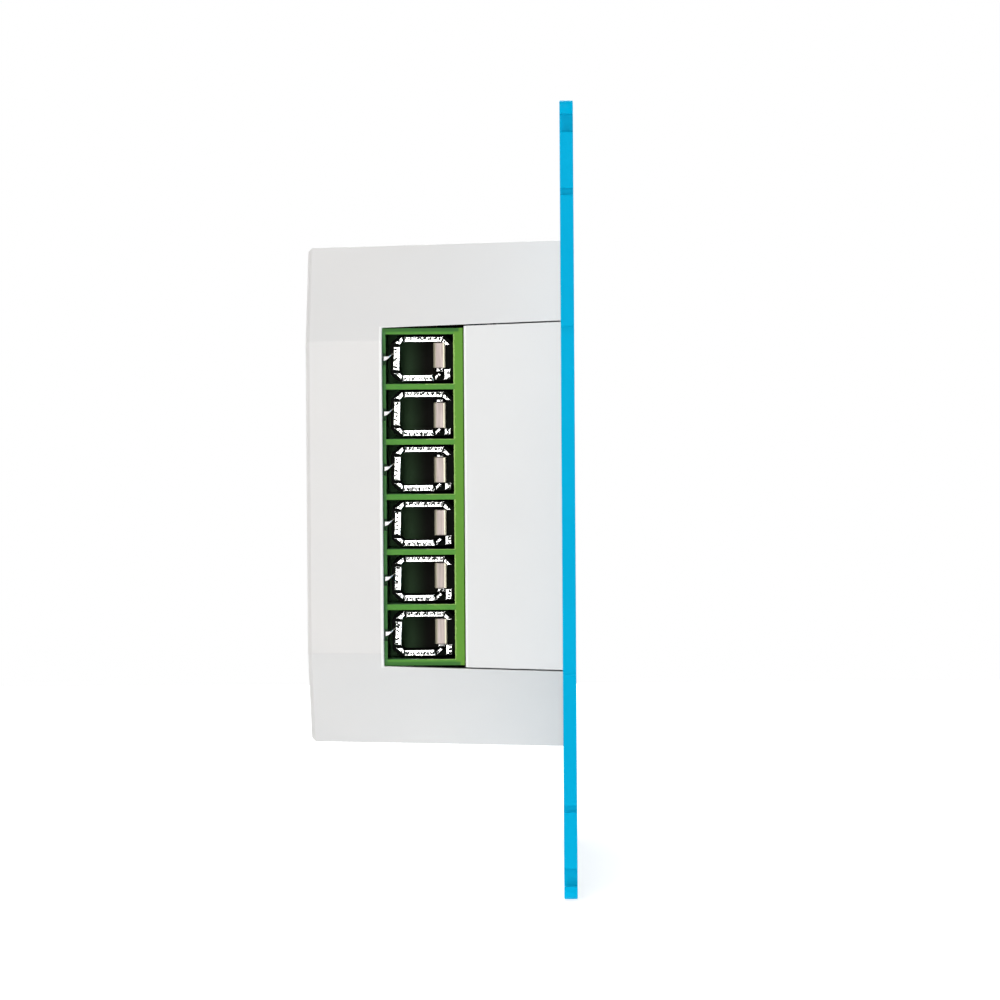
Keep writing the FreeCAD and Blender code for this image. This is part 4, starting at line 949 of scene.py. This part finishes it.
choke_low, choke_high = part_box("choke")
choke_across, choke_up = (choke_low.x + choke_high.x) / 2, (choke_low.z + choke_high.z) / 2
flange, flange_radius = 0.9 * MM, (choke_high.x - choke_low.x) / 2
core_radius, half_wire, flange_edge = 2.35 * MM, 0.3 * MM, 0.2 * MM
bm = bmesh.new()
turned(bm, choke_across, choke_up, [
    (choke_low.y, flange_radius - flange_edge), (choke_low.y + flange_edge, flange_radius),
    (choke_low.y + flange, flange_radius), (choke_low.y + flange, core_radius),
    (choke_high.y - flange, core_radius), (choke_high.y - flange, flange_radius),
    (choke_high.y - flange_edge, flange_radius), (choke_high.y, flange_radius - flange_edge)])
choke_core = new_piece("choke_core", bm, black_moulding)
smooth_sides(choke_core)
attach(choke_core, "root")
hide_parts("choke")
bm = bmesh.new()
wound_start, wound_end = choke_low.y + flange + 0.02 * MM, choke_high.y - flange - 0.02 * MM
wire_rings = 120
wound_places = [wound_start + (wound_end - wound_start) * number / wire_rings
                for number in range(wire_rings + 1)]
turned(bm, choke_across, choke_up, [(deep, wound_at(deep, core_radius, half_wire))
                                    for deep in wound_places])
winding = new_piece("choke_winding", bm, enamelled_wire)
smooth_sides(winding, 80.0)
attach(winding, "root")
print("winding faces:", len(winding.data.polygons))

# %% [markdown]
# The capacitor is a can with a shrink sleeve: the sleeve curls over the rim, leaves the scored
# vent bare, and follows the bead that was rolled near the base.

# %% Capacitor
can_low, can_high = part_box("bulk_capacitor")
can_across, can_up = (can_low.x + can_high.x) / 2, (can_low.z + can_high.z) / 2
can_radius = (can_high.x - can_low.x) / 2
FINE_SEGMENTS = 48
bm = bmesh.new()
turned(bm, can_across, can_up, [
    (can_low.y + 0.30 * MM, 0.70 * can_radius), (can_low.y, 0.76 * can_radius),
    (can_low.y, 0.88 * can_radius), (can_low.y + 0.15 * MM, 0.96 * can_radius),
    (can_low.y + 0.50 * MM, can_radius), (can_high.y - 2.0 * MM, can_radius),
    (can_high.y - 1.7 * MM, 0.97 * can_radius), (can_high.y - 1.4 * MM, 0.93 * can_radius),
    (can_high.y - 1.1 * MM, 0.97 * can_radius), (can_high.y - 0.8 * MM, can_radius),
    (can_high.y - 0.2 * MM, can_radius), (can_high.y, 0.94 * can_radius)], FINE_SEGMENTS)
can = new_piece("capacitor_can", bm, sleeve)
smooth_sides(can, 50.0)
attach(can, "root")
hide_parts("bulk_capacitor")
bm = bmesh.new()
turned(bm, can_across, can_up, [
    (can_low.y + 0.12 * MM, 0.60 * can_radius), (can_low.y + 0.16 * MM, 0.72 * can_radius),
    (can_low.y + 0.60 * MM, 0.74 * can_radius)], FINE_SEGMENTS)
vent = new_piece("capacitor_vent", bm, aluminium)
score, score_depth, score_reach = 0.12 * MM, can_low.y + 0.24 * MM, 0.5 * can_radius
for half_wide, half_high in ((score_reach, score), (score, score_reach)):
    carve(vent, rectangle(can_across - half_wide, can_across + half_wide,
                          can_low.y - 1 * MM, score_depth),
          can_up - half_high, can_up + half_high)
smooth_sides(vent)
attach(vent, "root")
print("can faces:", len(can.data.polygons), "vent faces:", len(vent.data.polygons))

# %% [markdown]
# The snap dome is a thin shell of spring steel under the plunger, and it flattens as the dial is
# pushed. The piece is built at rest, rides on the root and gets a mesh of its own.

# %% Snap dome
dome_low, dome_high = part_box("push_dome")
dome_rise, dome_reach = dome_high.y - dome_low.y, dome_high.x
dome_thick, dimple, dimple_share = 0.08 * MM, 0.03 * MM, 0.2
hole_share, dome_steps = 0.01, 16


def dome_height(share, thinner):
    """Distance from the plate at a share of the reach; the middle has a small dimple."""
    height = (dome_rise - thinner) * (1.0 - share * share)
    if share < dimple_share:
        height -= dimple * (1.0 - share / dimple_share)
    return dome_high.y - height


shares = [hole_share + (1.0 - hole_share) * number / dome_steps
          for number in range(dome_steps + 1)]
dome_outside = [(dome_height(share, 0.0), dome_reach * share) for share in reversed(shares)]
dome_inside = [(dome_height(share, dome_thick), (dome_reach - dome_thick) * share)
               for share in shares]
bm = bmesh.new()
turned(bm, 0.0, 0.0, dome_outside + dome_inside, FINE_SEGMENTS, shell=True)
dome = new_piece("snap_dome", bm, spring_steel)
smooth_sides(dome)
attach(dome, "root")
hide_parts("push_dome")
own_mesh(dome)

# %% [markdown]
# A painted highlight lies on the terminal block: a thin, uneven ribbon in light green, just proud
# of its face, along the inner edge of the wide rim, and a finer one that follows each divider for
# less than half its length.

# %% Painted highlight on the terminal block
# Its light green is a painted highlight.
highlight_green = finish("highlight_green", (0.46, 0.72, 0.20), (0.34, 0.62, 0.14),
                     grain=0.2 * MM, roughness=0.45, bump=0.004 * MM, drift_size=0.8 * MM,
                     specular=0.1)
highlight_step, highlight_proud, highlight_sunk = 0.12 * MM, -0.02 * MM, 0.04 * MM
half_cell, divider_highlight, highlight_gap = 2.25 * MM, 2.6 * MM, 0.03 * MM
bulge_chance, bulge_growth = 0.12, 1.7
pole_pitch = 5.0 * MM


def highlight_strip(bm, start, end, widest, chance):
    """A painted highlight: a ragged ribbon just proud of the block's face, from one point (y, z)
    to another.
    """
    start, end = Vector((0, *start)), Vector((0, *end))
    direction = (end - start).normalized()
    sideways = Vector((0, -direction.z, direction.y))
    count = max(6, round((end - start).length / highlight_step))
    face = block_low.x
    rows = []
    for number in range(count + 1):
        point = start.lerp(end, number / count)
        inner = chance.uniform(0.35, 0.75) * widest
        if chance.random() < bulge_chance:
            inner *= bulge_growth
        outer = chance.uniform(0.30, 0.45) * widest
        rows.append([bm.verts.new(Vector((face + sink, 0, 0)) + point + sideways * side)
                     for sink, side in ((highlight_sunk, inner), (highlight_proud, inner * 0.4),
                                        (highlight_proud, -outer * 0.5), (highlight_sunk, -outer))])
    for first, second in zip(rows, rows[1:]):
        for place in range(3):
            bm.faces.new((first[place], first[place + 1], second[place + 1], second[place]))


bm = bmesh.new()
chance = random.Random(7)
pole_middles = [pole_pitch * (number - 2.5) for number in range(6)]
for middle in pole_middles:
    low_end, high_end = middle - half_cell, middle + half_cell
    highlight_strip(bm, (cell_near, low_end), (cell_near, high_end), 0.16 * MM, chance)
    highlight_strip(bm, (cell_near + divider_highlight, low_end - highlight_gap),
                (cell_near, low_end - highlight_gap), 0.07 * MM, chance)
bmesh.ops.recalc_face_normals(bm, faces=bm.faces)
highlight_ribbon = new_piece("painted_highlight_ribbon", bm, highlight_green)
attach(highlight_ribbon, "root")
print("flash faces:", len(highlight_ribbon.data.polygons))

# %% [markdown]
# The current bars aren't all seated alike: each sits a little higher or lower in its cell. They
# are drawn strip with a rounded long edge. A leg and a pin take each one to the circuit board.
# At rest the three that sit highest cut into their cage's strip, by less than 0.1 mm.

# %% Current bars
BAR_SHIFTS = (0.21, 0.29, 0.11, -0.10, -0.14, 0.32)
bars_low, bars_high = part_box("terminal_bars")
bar_thick, leg_thick = 1.1 * MM, 0.7 * MM
half_bar, half_pin, bar_chamfer = bar_half * MM, 0.45 * MM, 0.09 * MM
corner_steps = 6


def rounded_bar(front, back, near, far, radius):
    """Outline of the bar: a small chamfer beside the screw, a full radius on the wire's side."""
    points = [(back, near), (front + bar_chamfer, near), (front, near + bar_chamfer)]
    for number in range(corner_steps + 1):
        angle = math.radians(90 * number / corner_steps)
        points.append((front + radius * (1 - math.cos(angle)),
                       far - radius * (1 - math.sin(angle))))
    points.append((back, far))
    return points


bm = bmesh.new()
near, leg_start = bars_low.y, bars_high.x - leg_thick
bar_outline = rounded_bar(bars_low.x, bars_high.x, near, near + bar_thick, 0.32 * MM)
leg_outline = [(leg_start, near + bar_thick), (bars_high.x, near + bar_thick),
               (bars_high.x, block_high.y), (leg_start, block_high.y)]
pin_outline = [(leg_start, block_high.y), (bars_high.x, block_high.y),
               (bars_high.x, bars_high.y), (leg_start, bars_high.y)]
for middle, shift in zip(pole_middles, BAR_SHIFTS):
    add_prism(bm, bar_outline, middle + shift * MM - half_bar, middle + shift * MM + half_bar)
    add_prism(bm, leg_outline, middle - half_bar, middle + half_bar)
    add_prism(bm, pin_outline, middle - half_pin, middle + half_pin)
bmesh.ops.recalc_face_normals(bm, faces=bm.faces)
# Painted highlight, pale yellow, along the chamfered edge beside the screw; painted shade, browner
# and darker, along the rounded edge on the wire's side.
run_into(tinned_copper, "Y", near + 0.24 * MM, near + 0.19 * MM, (1.0, 0.96, 0.76))
run_into(tinned_copper, "Y", near + bar_thick - 0.30 * MM, near + bar_thick - 0.16 * MM,
         (0.60, 0.55, 0.42))
current_bars = new_piece("current_bars", bm, tinned_copper)
current_bars.modifiers.new("bevel", "BEVEL").width = 0.04 * MM
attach(current_bars, "root")
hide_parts("terminal_bars")
print("current bars:", len(BAR_SHIFTS))

# %% [markdown]
# Every cage is two pieces that ride on its own body: the ring in painted shade and the bright
# bars. The marks of each rim are drawn with a seed of its own, so the rims differ.

# %% Six cages
for pole in POLES:
    low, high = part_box("terminal_cage_%d" % pole)
    middle = (low.z + high.z) / 2
    ring = new_piece("cage_%d_ring" % pole, ring_mesh(middle), steel_painted_shade)
    ring.modifiers.new("bevel", "BEVEL").width = 0.06 * MM
    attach(ring, "cage_%d" % pole)
    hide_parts("terminal_cage_%d" % pole)
    rim = new_piece("cage_%d_rim" % pole,
                    rim_mesh(middle, BAR_SHIFTS[pole - 1], random.Random(40 + pole)),
                    coined_nickel)
    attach(rim, "cage_%d" % pole)
    print("cage", pole, "rim faces", len(rim.data.polygons))
